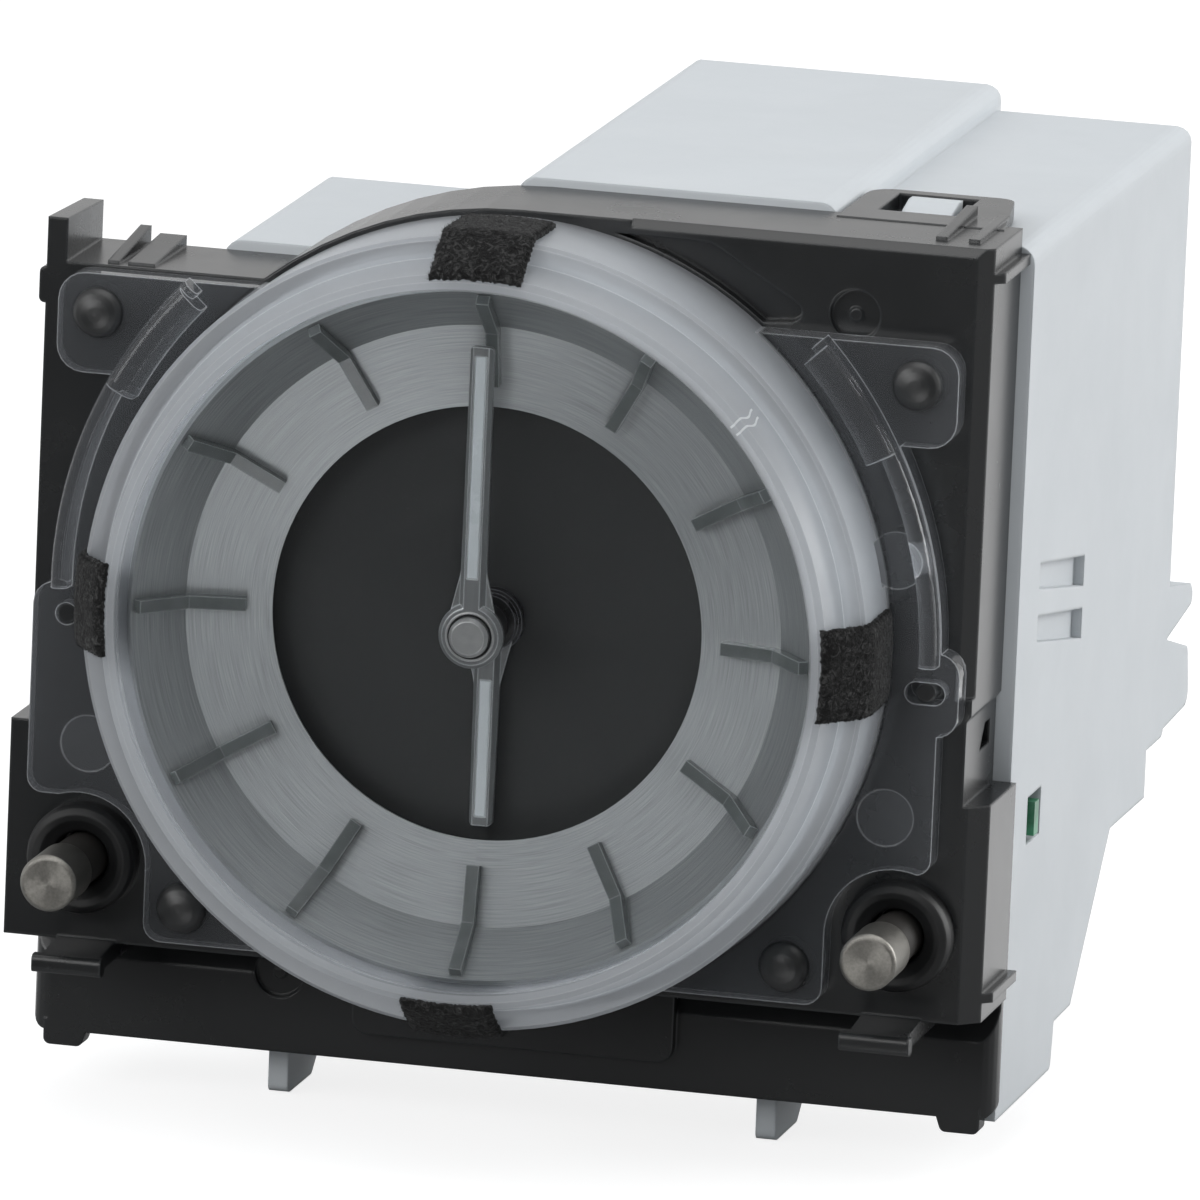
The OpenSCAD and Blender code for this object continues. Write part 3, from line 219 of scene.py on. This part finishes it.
# The lens, in millimetres: radii between which its wall and its flange begin and end, the front of
# the flange's ridges, and the mould's ejector recesses
WALL_IN, WALL_OUT, FLANGE_IN = (30.6, 30.85), (35.1, 34.9), (35.0, 35.3)
RIDGE_Y = 2.1
EJECTORS = [(-35.8, -14.5), (35.2, -14.4), (35.2, 8.2)]
EJECTOR_R = 2.5

# The two mould lines on the lens's rim, in millimetres, apart from the turn, the waves in radians
# per metre and the share of milk in a line
GATE_TURN = math.radians(48.4)
GATE_R, GATE_IN, GATE_BACK = 32.0, (30.95, 31.05), -6.6
GATE_APART, GATE_HALF_W = 0.42, 0.1
GATE_SWING, GATE_WAVES = 0.16, 2600.0
GATE_SHARE = 0.85


def shade(color, k):
    return tuple(min(c * k, 1.0) for c in color)


def plastic(name, color, rough, grain=0.25, grain_mm=0.35, edge_mm=0.25, edge_light=1.5,
            spread=0.12, smear=1.0, dull_spots=(), dull_mm=0.0, **extra):
    """Moulded plastic: spark texture, faint flow marks, a painted highlight along its edges, dull
    where it was melted.
    """
    t = Material(name)
    flow = t.noise(45.0, 4.0, 0.6, distortion=0.8)
    fine = t.noise(1 / (grain_mm * MM), 2.0, 0.6)
    smudge = t.noise(90.0, 5.0, 0.65)
    normal = t.bevel(edge_mm)
    base = t.mix(t.range(flow, *MID), shade(color, 1 - spread), shade(color, 1 + spread))
    # Painted highlight: the rounded edges are made lighter, as if they caught the light
    base = t.mix(t.times(t.edge(normal), 0.6), base, shade(color, edge_light))
    finish = t.range(smudge, 0.3, 0.75, rough - 0.06 * smear, rough + 0.08 * smear)
    if dull_spots:
        finish = t.plus(finish, t.times(t.near(dull_spots, dull_mm), 0.16))
    t.set(Base_Color=base, Roughness=finish, Normal=t.bump(fine, grain, 0.02, normal), **extra)
    return t.mat


def metal(name, color, rough, edge_mm=0.15, streak=(1.0, 1.0, 1.0), spread=0.15, metallic=1.0,
          edge_light=1.0):
    """Bare or plated metal with tooling streaks, small pits and, where asked, a painted highlight
    along its edges.
    """
    t = Material(name)
    mapping = t.new("Mapping")
    t.put(mapping.inputs["Vector"], t.position())
    t.put(mapping.inputs["Scale"], streak)
    lines = t.noise(900.0, 3.0, 0.6, mapping.outputs["Vector"])
    pits = t.noise(2600.0, 2.0, 0.7)
    normal = t.bevel(edge_mm)
    base = t.mix(t.range(lines, *MID), shade(color, 1 - spread), shade(color, 1 + spread))
    # Painted highlight: the edges are made lighter, as if their rounding caught the light
    t.set(Base_Color=t.mix(t.edge(normal), base, shade(color, edge_light)), Metallic=metallic,
          Roughness=t.range(lines, *MID, rough - 0.06, rough + 0.08),
          Normal=t.bump(pits, 0.12, 0.01, normal))
    return t.mat


def clear_lens():
    """Clear moulding: milky side wall, clear window and flange, and a painted highlight of pale
    milk along its cut edges and the flange's ridges.
    """
    t = Material("clear_lens")
    r, turn = t.polar()
    _, y, _ = t.axes(t.position())
    wall = t.times(t.range(r, *WALL_IN), t.range(r, *WALL_OUT))
    flange = t.range(r, *FLANGE_IN)
    normal = t.bevel(0.2)
    edge = t.edge(normal)
    haze = t.noise(60.0, 3.0, 0.6)
    spark = t.noise(2600.0, 2.0, 0.7)
    t.set(Base_Color=(0.94, 0.95, 0.965), Transmission_Weight=1.0, IOR=1.45,
          Roughness=t.plus(t.range(haze, 0.35, 0.75, 0.0, 0.03), t.times(wall, 0.22)),
          Normal=t.bump(t.times(spark, wall), 0.3, 0.03, normal))
    mark = gate_mark(t, r, turn, y)
    cloud = t.mix(flange, (0.5, 0.513, 0.532), (0.6, 0.62, 0.655))
    # Painted highlight: the milk is paler along the cut edges
    cloud = t.mix(t.times(edge, 0.7), cloud, (0.86, 0.87, 0.88))
    milk = t.new("BsdfDiffuse")
    t.put(milk.inputs["Color"], t.mix(mark, cloud, (0.95, 0.96, 0.97)))
    glow = t.new("BsdfTranslucent")
    t.put(glow.inputs["Color"], cloud)
    body = t.blend(0.55, milk.outputs["BSDF"], glow.outputs["BSDF"])
    # How milky it is: the wall most, then the flange's edges, where the milk is a painted
    # highlight, less so round the ejector recesses
    soft = t.times(t.near(EJECTORS, EJECTOR_R + 0.4), 0.42)
    rim = t.times(edge, t.math("SUBTRACT", 0.65, soft))
    ridge = t.math("LESS_THAN", y, RIDGE_Y * MM)
    # Painted highlight on the ridges, and a little more milk inside the ejector recesses
    ridge_highlight_and_recess_milk = t.plus(t.times(ridge, 0.02), t.times(t.near(EJECTORS, EJECTOR_R), 0.05))
    flange_share = t.times(flange, t.plus(rim, t.plus(ridge_highlight_and_recess_milk, 0.1)))
    share = t.plus(t.times(wall, t.range(haze, *MID, 0.54, 0.64)), flange_share)
    frost = t.blend(t.math("MAXIMUM", share, mark), t.bsdf.outputs["BSDF"], body)
    # Lamps shine through
    clear = t.new("BsdfTransparent")
    t.put(clear.inputs["Color"], (0.93, 0.95, 0.96))
    lens = t.blend(t.rays("Is Shadow Ray"), frost, clear.outputs["BSDF"])
    t.put(t.tree.nodes["Material Output"].inputs["Surface"], lens)
    return t.mat


def gate_mark(t, r, turn, y):
    """Two thin wavy lines left by the mould across the lens's front rim, up and to the right."""
    wave = t.times(t.math("SINE", t.times(y, GATE_WAVES)), GATE_SWING)
    place = t.plus(t.times(t.math("SUBTRACT", turn, GATE_TURN), GATE_R), wave)
    off = t.math("ABSOLUTE", t.math("SUBTRACT", t.math("ABSOLUTE", place), GATE_APART))
    front = t.math("LESS_THAN", y, GATE_BACK * MM)
    line = t.times(t.math("LESS_THAN", off, GATE_HALF_W), front)
    return t.times(line, t.range(r, *GATE_IN, 0.0, GATE_SHARE))


def brushed_ring():
    """Turned metal: fine arcs about the dial axis, in the light and in the colour."""
    t = Material("brushed_ring")
    r, turn = t.polar()
    arcs = t.noise(1.0, 3.0, 0.6, t.vector(t.times(r, 11.0), t.times(turn, 4.0)))
    broad = t.noise(1.0, 3.0, 0.6, t.vector(t.times(r, 3.0), t.times(turn, 1.6)))
    base = t.ramp(arcs, [(0.28, (0.27, 0.28, 0.28)), (0.5, (0.36, 0.372, 0.372)),
                         (0.72, (0.455, 0.47, 0.47))])
    base = t.mix(t.range(broad, *MID, 0.0, 0.4), base, (0.4, 0.414, 0.414))
    tangent = t.new("Tangent", direction_type="RADIAL", axis="Y")
    t.set(Base_Color=base, Metallic=0.72, Anisotropic=0.7, Tangent=tangent.outputs["Tangent"],
          Roughness=t.range(arcs, *MID, 0.36, 0.46), Normal=t.bump(arcs, 0.15, 0.02))
    return t.mat


def black_disc():
    """Matt black print with fine pale specks."""
    t = Material("black_disc")
    speck = t.noise(3500.0, 2.0, 0.7)
    cloud = t.noise(70.0, 3.0, 0.6)
    base = t.mix(t.range(cloud, *MID), (0.0108, 0.0117, 0.0115), (0.0138, 0.0149, 0.0147))
    base = t.mix(t.range(speck, 0.62, 0.8, 0.0, 0.5), base, (0.032, 0.034, 0.034))
    t.set(Base_Color=base, Roughness=0.62, Normal=t.bump(speck, 0.15, 0.01))
    return t.mat


def felt():
    """Black felt: matted fibres with pale tips."""
    t = Material("felt")
    fuzz = t.noise(1400.0, 4.0, 0.75, distortion=1.5)
    clumps = t.noise(420.0, 3.0, 0.7, distortion=2.0)
    base = t.ramp(fuzz, [(0.32, (0.003, 0.003, 0.003)), (0.52, (0.012, 0.012, 0.012)),
                         (0.72, (0.07, 0.07, 0.069))])
    t.set(Base_Color=base, Roughness=0.95, Specular_IOR_Level=0.1, Sheen_Weight=0.15,
          Sheen_Roughness=0.5, Sheen_Tint=(0.5, 0.5, 0.5),
          Normal=t.bump(t.plus(fuzz, clumps), 0.9, 0.18))
    return t.mat


def marker():
    """Lacquered bar with a painted highlight along its edges."""
    t = Material("marker")
    cloud = t.noise(260.0, 3.0, 0.6)
    normal = t.bevel(0.18)
    base = t.mix(t.range(cloud, *MID), (0.075, 0.083, 0.082), (0.11, 0.12, 0.118))
    # Painted highlight: pale colour along the edges
    base = t.mix(t.edge(normal), base, (0.42, 0.44, 0.435))
    t.set(Base_Color=base, Roughness=0.22, Normal=normal, Coat_Weight=0.4, Coat_Roughness=0.1)
    return t.mat


def nickel():
    """Turned metal cup: the brushing runs round its own axis."""
    t = Material("nickel")
    x, _, z = t.axes(t.new("TexCoord").outputs["Generated"])
    dx, dz = t.math("SUBTRACT", x, 0.5), t.math("SUBTRACT", z, 0.5)
    grit = t.noise(4200.0, 2.0, 0.6)
    base = t.mix(t.range(grit, *MID), (0.262, 0.254, 0.234), (0.336, 0.325, 0.3))
    t.set(Base_Color=base, Metallic=1.0, Anisotropic=0.4,
          Tangent=t.vector(x=t.times(dz, -1.0), z=dx),
          Roughness=t.range(grit, *MID, 0.38, 0.48),
          Normal=t.bump(grit, 0.1, 0.01, t.bevel(0.35)))
    return t.mat


def board_laminate():
    """Green lacquer over tracks, with the glass weave showing."""
    t = Material("board_laminate")
    weave = t.noise(1500.0, 2.0, 0.5)
    tracks = t.noise(160.0, 1.0, 0.3)
    base = t.mix(t.range(tracks, 0.48, 0.52), (0.02, 0.15, 0.07), (0.035, 0.24, 0.12))
    base = t.mix(t.range(weave, 0.4, 0.8, 0.0, 0.25), base, (0.2, 0.36, 0.25))
    t.set(Base_Color=base, Roughness=0.35, Normal=t.bump(weave, 0.1, 0.02))
    return t.mat


# Each look's edge factor lightens its edges: a painted highlight, strongest on the black hub's rims
PLASTICS = {
    "black_case": dict(color=(0.0098, 0.0106, 0.0112), rough=0.26, grain=0.1, edge_mm=0.35,
                       edge_light=5.0, spread=0.06, smear=0.4, dull_spots=STAKES, dull_mm=STAKE_R,
                       Specular_IOR_Level=0.75),
    "white_cover": dict(color=(0.52, 0.547, 0.568), rough=0.5, grain=0.3, grain_mm=0.4, edge_mm=0.4,
                        edge_light=1.1, spread=0.02),
    "white_diffuser": dict(color=(0.62, 0.64, 0.65), rough=0.55, spread=0.03, edge_light=1.1),
    "hand_inlay": dict(color=(0.52, 0.555, 0.565), rough=0.3, grain=0.1, spread=0.05,
                       edge_light=1.1),
    "black_hub": dict(color=(0.006, 0.006, 0.0065), rough=0.3, edge_mm=0.16, edge_light=70.0),
    "plunger_plastic": dict(color=(0.024, 0.022, 0.02), rough=0.46),
    "boot_rubber": dict(color=(0.0062, 0.0064, 0.0068), rough=0.46, grain=0.3, grain_mm=0.25,
                        edge_mm=0.3, edge_light=1.6),
    "switch_plastic": dict(color=(0.03, 0.031, 0.034), rough=0.45),
    "movement_plastic": dict(color=(0.68, 0.66, 0.58), rough=0.5, spread=0.04, edge_light=1.1),
    "wheel_plastic": dict(color=(0.72, 0.69, 0.58), rough=0.45, spread=0.05, edge_light=1.1),
    "rotor_magnet": dict(color=(0.06, 0.062, 0.066), rough=0.35),
    "bobbin_plastic": dict(color=(0.04, 0.13, 0.07), rough=0.45),
    "socket_plastic": dict(color=(0.64, 0.61, 0.52), rough=0.5, spread=0.04, edge_light=1.1),
    "lamp_plastic": dict(color=(0.8, 0.78, 0.66), rough=0.35, spread=0.03, edge_light=1.1),
    "chip_plastic": dict(color=(0.015, 0.015, 0.016), rough=0.55),
}
# Here too the edge factor is a painted highlight along the edges, strong on the hands and cap
METALS = {
    "hand_metal": dict(color=(0.185, 0.19, 0.19), rough=0.36, edge_mm=0.2, streak=(6.0, 6.0, 0.4),
                       spread=0.08, metallic=0.6, edge_light=4.6),
    "cap_metal": dict(color=(0.3, 0.3, 0.296), rough=0.36, edge_mm=0.18, spread=0.08, metallic=0.6,
                      edge_light=2.2),
    "pillar_brass": dict(color=(0.5, 0.36, 0.13), rough=0.28),
    "screw_steel": dict(color=(0.5, 0.51, 0.52), rough=0.3),
    "arbor_steel": dict(color=(0.55, 0.56, 0.57), rough=0.2, streak=(1.0, 8.0, 1.0)),
    "stator_iron": dict(color=(0.33, 0.34, 0.36), rough=0.38, streak=(0.3, 1.0, 5.0)),
    "coil_copper": dict(color=(0.42, 0.14, 0.05), rough=0.3, streak=(8.0, 0.3, 0.3), spread=0.35),
    "pin_brass": dict(color=(0.6, 0.45, 0.16), rough=0.25),
    "can_steel": dict(color=(0.55, 0.56, 0.57), rough=0.3, streak=(0.4, 1.0, 4.0)),
    "can_aluminium": dict(color=(0.5, 0.51, 0.53), rough=0.33),
}
MATERIALS = {name: plastic(name, **look) for name, look in PLASTICS.items()}
MATERIALS.update({name: metal(name, **look) for name, look in METALS.items()})
MATERIALS.update(clear_lens=clear_lens(), brushed_ring=brushed_ring(), black_disc=black_disc(),
                 felt=felt(), marker=marker(), nickel=nickel(), board_laminate=board_laminate())

for part in frame["record"]["subparts"]:
    slots = frame["nodes"][part["node"]].data.materials
    slots.clear()
    slots.append(MATERIALS[part["material_slot"]])


def add_object(name, bm, material):
    """New object in the scene with the mesh of bm, which is freed."""
    mesh = bpy.data.meshes.new(name)
    bm.to_mesh(mesh)
    bm.free()
    mesh.materials.append(material)
    obj = bpy.data.objects.new(name, mesh)
    bpy.context.scene.collection.objects.link(obj)
    return obj


# Hub: a flat black ring that paints the shade in the gap round the cap, and a polished collar, on
# the minute hand's eye

EYE_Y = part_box("minute_hand")[0][1] / MM
CAP_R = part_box("hub_cap")[1][0] / MM
HUB_TURNS = 96


def hub_ring(name, section, slot):
    """Ring about the dial axis, its section in millimetres beyond the cap and behind the eye."""
    bm = bmesh.new()
    rows = []
    for k in range(HUB_TURNS):
        a = 2 * math.pi * k / HUB_TURNS
        points = [((CAP_R + out) * MM, (EYE_Y + back) * MM) for out, back in section]
        rows.append([bm.verts.new((r * math.sin(a), y, r * math.cos(a))) for r, y in points])
    for k in range(HUB_TURNS):
        here, there = rows[k], rows[(k + 1) % HUB_TURNS]
        for i in range(len(section)):
            j = (i + 1) % len(section)
            bm.faces.new((here[i], here[j], there[j], there[i]))
    bmesh.ops.recalc_face_normals(bm, faces=bm.faces)
    obj = add_object(name, bm, MATERIALS[slot])
    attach(obj, "minute")


# Painted shade: a black ring standing for the shadowed gap between cap and hand
hub_ring("hub_gap_shade", [(0.02, 0.05), (0.02, -0.03), (0.24, -0.03), (0.24, 0.05)], "boot_rubber")
hub_ring("hub_collar", [(0.22, 0.05), (0.22, -0.08), (0.26, -0.12), (0.36, -0.12), (0.44, -0.04),
                        (0.44, 0.05)], "cap_metal")


# Felt: four soft strips that wrap the lens's front step, with ragged edges and loose fibres.
# Sections are (radius, y) points in millimetres.

LENS_R = 34.75
LENS_FRONT = [(31.45, -9.5), (32.05, -9.05), (32.9, -5.6), (LENS_R, -5.4)]
FELT_PATH = [(31.55, -9.46), (32.15, -9.02), (33.1, -7.8), (34.0, -6.6), (34.6, -5.8),
             (34.88, -5.2), (34.9, -4.4), (34.87, -1.0), (34.85, 2.0)]
FELT_W = 8.2
FELT_T = 0.62
FELT_GAP = 0.02
FELT_ROWS, FELT_COLS = 64, 48
RAGGED_SIDE = (-0.13, 0.06)
RAGGED_END = (0.0, 0.016)  # share of the path's length
NAP = (-0.06, 0.05)
RIM_T, RIM_REACH = 0.55, 0.06  # share of the thickness left at the rim, and of the width it takes
FIBRES = 2200
SIDE_FIBRES = 0.45  # share of the fibres that is put at the two sides
FIBRE_HALF_W = 0.016
FIBRE_H = 0.02


def along(path, t):
    """Point and outward normal at share t of a path's length."""
    lengths = [math.dist(a, b) for a, b in zip(path, path[1:])]
    want = t * sum(lengths)
    for (a, b), d in zip(zip(path, path[1:]), lengths):
        if want <= d or b == path[-1]:
            k = min(want / d, 1.0)
            p = (a[0] + (b[0] - a[0]) * k, a[1] + (b[1] - a[1]) * k)
            return p, ((b[1] - a[1]) / d, -(b[0] - a[0]) / d)
        want -= d


def in_lens(point):
    """True where a point in metres lies behind the lens's front and inside its wall."""
    r, y = math.hypot(point.x, point.z) / MM, point.y / MM
    if r > LENS_R:
        return False
    front = LENS_FRONT[0][1]
    for (r0, y0), (r1, y1) in zip(LENS_FRONT, LENS_FRONT[1:]):
        if r > r0:
            front = y0 + (y1 - y0) * min((r - r0) / (r1 - r0), 1.0)
    return y > front


def felt_sheet(bm, rnd, spin):
    """Crowned strip with ragged sides and ends. Gives the rows of points on its outside."""
    left = [rnd.uniform(*RAGGED_SIDE) for _ in range(FELT_ROWS + 1)]
    right = [rnd.uniform(*RAGGED_SIDE) for _ in range(FELT_ROWS + 1)]
    ends = [[rnd.uniform(*RAGGED_END) for _ in range(FELT_COLS + 1)] for _ in range(2)]

    def point(i, j, lift):
        x = -FELT_W / 2 - left[j] + i / FELT_COLS * (FELT_W + left[j] + right[j])
        t = ends[0][i] + j / FELT_ROWS * (1 - ends[0][i] - ends[1][i])
        (r, y), (out_r, out_y) = along(FELT_PATH, t)
        r, y = r + out_r * lift, y + out_y * lift
        z = math.sqrt(max(r * r - x * x, 0.0))
        return bm.verts.new(spin @ Vector((x * MM, y * MM, z * MM)))

    top, low = [], []
    for j in range(FELT_ROWS + 1):
        top.append([])
        low.append([])
        for i in range(FELT_COLS + 1):
            u, v = i / FELT_COLS, j / FELT_ROWS
            rim = min(u, 1 - u, 1.2 * v, 1.2 * (1 - v))
            crown = FELT_T * (RIM_T + (1 - RIM_T) * min(rim / RIM_REACH, 1.0)) + rnd.uniform(*NAP)
            top[j].append(point(i, j, crown))
            low[j].append(point(i, j, FELT_GAP))
    for j in range(FELT_ROWS):
        for i in range(FELT_COLS):
            bm.faces.new((top[j][i], top[j][i + 1], top[j + 1][i + 1], top[j + 1][i]))
            bm.faces.new((low[j][i], low[j + 1][i], low[j + 1][i + 1], low[j][i + 1]))
        bm.faces.new((top[j][0], top[j + 1][0], low[j + 1][0], low[j][0]))
        bm.faces.new((top[j + 1][-1], top[j][-1], low[j][-1], low[j + 1][-1]))
    for i in range(FELT_COLS):
        bm.faces.new((top[0][i + 1], top[0][i], low[0][i], low[0][i + 1]))
        bm.faces.new((top[-1][i], top[-1][i + 1], low[-1][i + 1], low[-1][i]))
    return top


def felt_fibres(bm, rnd, top):
    """Loose fibres: thin three-sided slivers that start in the nap and lie at random."""
    for _ in range(FIBRES):
        i, j = rnd.randrange(FELT_COLS), rnd.randrange(FELT_ROWS)
        if rnd.random() < SIDE_FIBRES:
            i = rnd.choice((0, FELT_COLS - 1))
        root = top[j][i].co.copy()
        out = (root - Vector((0.0, root.y, 0.0))).normalized()
        drift = Vector((rnd.gauss(0, 1), rnd.gauss(0, 1), rnd.gauss(0, 1))).normalized()
        lean = out * rnd.uniform(0.05, 0.3) + drift * rnd.uniform(0.3, 0.9)
        tip = root + lean * rnd.uniform(0.25, 0.6) * MM
        side = (tip - root).cross(out)
        if in_lens(tip) or side.length < 1e-9:
            continue
        side = side.normalized() * FIBRE_HALF_W * MM
        base = (root + side, root - side, root + out * FIBRE_H * MM)
        a, b, c, d = (bm.verts.new(p) for p in (*base, tip))
        for face in ((a, b, d), (b, c, d), (c, a, d), (a, c, b)):
            bm.faces.new(face)


def felt_strip(name, angle, seed):
    """One strip, turned about the dial axis from the top by an angle in degrees."""
    rnd = random.Random(seed)
    bm = bmesh.new()
    top = felt_sheet(bm, rnd, Matrix.Rotation(math.radians(angle), 3, "Y"))
    felt_fibres(bm, rnd, top)
    bmesh.ops.recalc_face_normals(bm, faces=bm.faces)
    obj = add_object(name, bm, MATERIALS["felt"])
    for polygon in obj.data.polygons:
        polygon.use_smooth = True
    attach(obj, "case")
    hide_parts("felt_pads")


for k, side_name in enumerate(("top", "right", "bottom", "left")):
    felt_strip("felt_" + side_name, 90 * k, 11 + k)


# Stage and light

FLOOR_GAP = 0.0002
FLOOR_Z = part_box("rear_cover")[0][2] - FLOOR_GAP
FLOOR_FRONT = -0.03
FLOOR_REACH = 3.0
FLOOR_GLOW = 0.82
FLOOR_GLOSS = (0.02, 0.08)  # stretch of y in which the floor turns white in gloss
ROOM_GLOSS = (-0.5, 0.25, 0.048, 0.8)  # the room in gloss, from the camera's side to the back
ROOM_SOFT = (0.2, 1.0, 0.5, 1.1)  # its soft light, towards SOFT_FROM
SOFT_FROM = (-0.64, 0.77, 0.0)


def make_floor():
    """Plain pale floor, white to the camera. In gloss it is white only behind the case's front."""
    t = Material("floor")
    _, y, _ = t.axes(t.new("NewGeometry").outputs["Position"])
    gloss = t.times(t.rays("Is Glossy Ray"), t.range(y, *FLOOR_GLOSS))
    seen = t.math("MAXIMUM", t.rays("Is Camera Ray", "Is Transmission Ray"), gloss)
    t.set(Base_Color=(0.3, 0.3, 0.3), Roughness=0.9, Specular_IOR_Level=0.0,
          Emission_Color=(1.0, 1.0, 1.0), Emission_Strength=t.times(seen, FLOOR_GLOW))
    bm = bmesh.new()
    corners = [(-FLOOR_REACH, FLOOR_FRONT, 0.0), (FLOOR_REACH, FLOOR_FRONT, 0.0),
               (FLOOR_REACH, FLOOR_REACH, 0.0), (-FLOOR_REACH, FLOOR_REACH, 0.0)]
    bm.faces.new([bm.verts.new(corner) for corner in corners])
    floor = add_object("floor", bm, t.mat)
    floor.location = (0.0, 0.0, FLOOR_Z)


def make_world():
    """Studio room: white to the camera, white behind the object and dark before it in gloss."""
    world = bpy.data.worlds.new("studio")
    bpy.context.scene.world = world
    world.use_nodes = True
    world.node_tree.nodes.clear()
    g = Graph(world.node_tree)
    way = g.new("TexCoord").outputs["Generated"]
    _, y, _ = g.axes(way)
    # Soft light is stronger from behind and from the left, where no lamp stands
    soft = g.new("Background")
    g.put(soft.inputs["Color"], (0.95, 0.975, 1.0))
    g.put(soft.inputs["Strength"], g.range(g.dot(way, SOFT_FROM), *ROOM_SOFT))
    white = g.new("Background")
    g.put(white.inputs["Color"], (1.0, 1.0, 1.0))
    gloss = g.range(y, *ROOM_GLOSS)
    g.put(white.inputs["Strength"], g.math("MAXIMUM", g.rays("Is Camera Ray"), gloss))
    seen = g.rays("Is Camera Ray", "Is Glossy Ray", "Is Transmission Ray")
    room = g.blend(seen, soft.outputs["Background"], white.outputs["Background"])
    g.put(g.new("OutputWorld").inputs["Surface"], room)


def softbox(name, place, target, size, power):
    """Rectangular lamp at a place, facing a target. Lengths are in metres, the power in watts."""
    data = bpy.data.lights.new(name, "AREA")
    data.shape = "RECTANGLE"
    data.size, data.size_y = size
    data.energy = power
    obj = bpy.data.objects.new(name, data)
    obj.location = place
    obj.rotation_euler = (Vector(target) - Vector(place)).to_track_quat("-Z", "Y").to_euler()
    bpy.context.scene.collection.objects.link(obj)


make_floor()
make_world()
softbox("key_top", (0.1, -0.15, 0.75), (0.0, 0.02, 0.0), (0.7, 0.7), 2.25)
softbox("fill_left", (-0.6, -0.6, 0.35), (0.0, 0.0, 0.0), (0.5, 0.5), 2.7)
softbox("front_high", (-0.4, -1.1, 0.5), (0.0, 0.0, -0.01), (0.7, 0.5), 3.1)
softbox("front_low", (0.12, -0.9, -0.6), (0.0, 0.0, 0.0), (0.6, 0.5), 2.3)
softbox("side_right", (0.8, 0.4, 0.3), (0.03, 0.04, 0.0), (0.6, 0.6), 5.5)


# Camera fitted to the photograph: a long lens, right of and above the dial axis

PHOTO_PX = 1200
FOCAL_PX = 20058.5
SENSOR_MM = 36.0
CAM_RIGHT = Vector((0.96923939, 0.24259169, 0.04152449))
CAM_UP = Vector((-0.08981634, 0.19155225, 0.97736419))
CAM_BACK = Vector((0.22914632, -0.95102945, 0.20744869))
CAM_PLACE = Vector((404.468, -1637.925, 360.177)) * MM

cam = bpy.data.cameras.new("camera")
cam.sensor_width = SENSOR_MM
cam.lens = FOCAL_PX / PHOTO_PX * SENSOR_MM
cam.clip_end = 20.0
cam_obj = bpy.data.objects.new("camera", cam)
cam_turn = Matrix((CAM_RIGHT, CAM_UP, CAM_BACK)).transposed().to_4x4()
cam_obj.matrix_world = Matrix.Translation(CAM_PLACE) @ cam_turn
bpy.context.scene.collection.objects.link(cam_obj)
bpy.context.scene.camera = cam_obj
bpy.context.scene.view_settings.view_transform = "Standard"
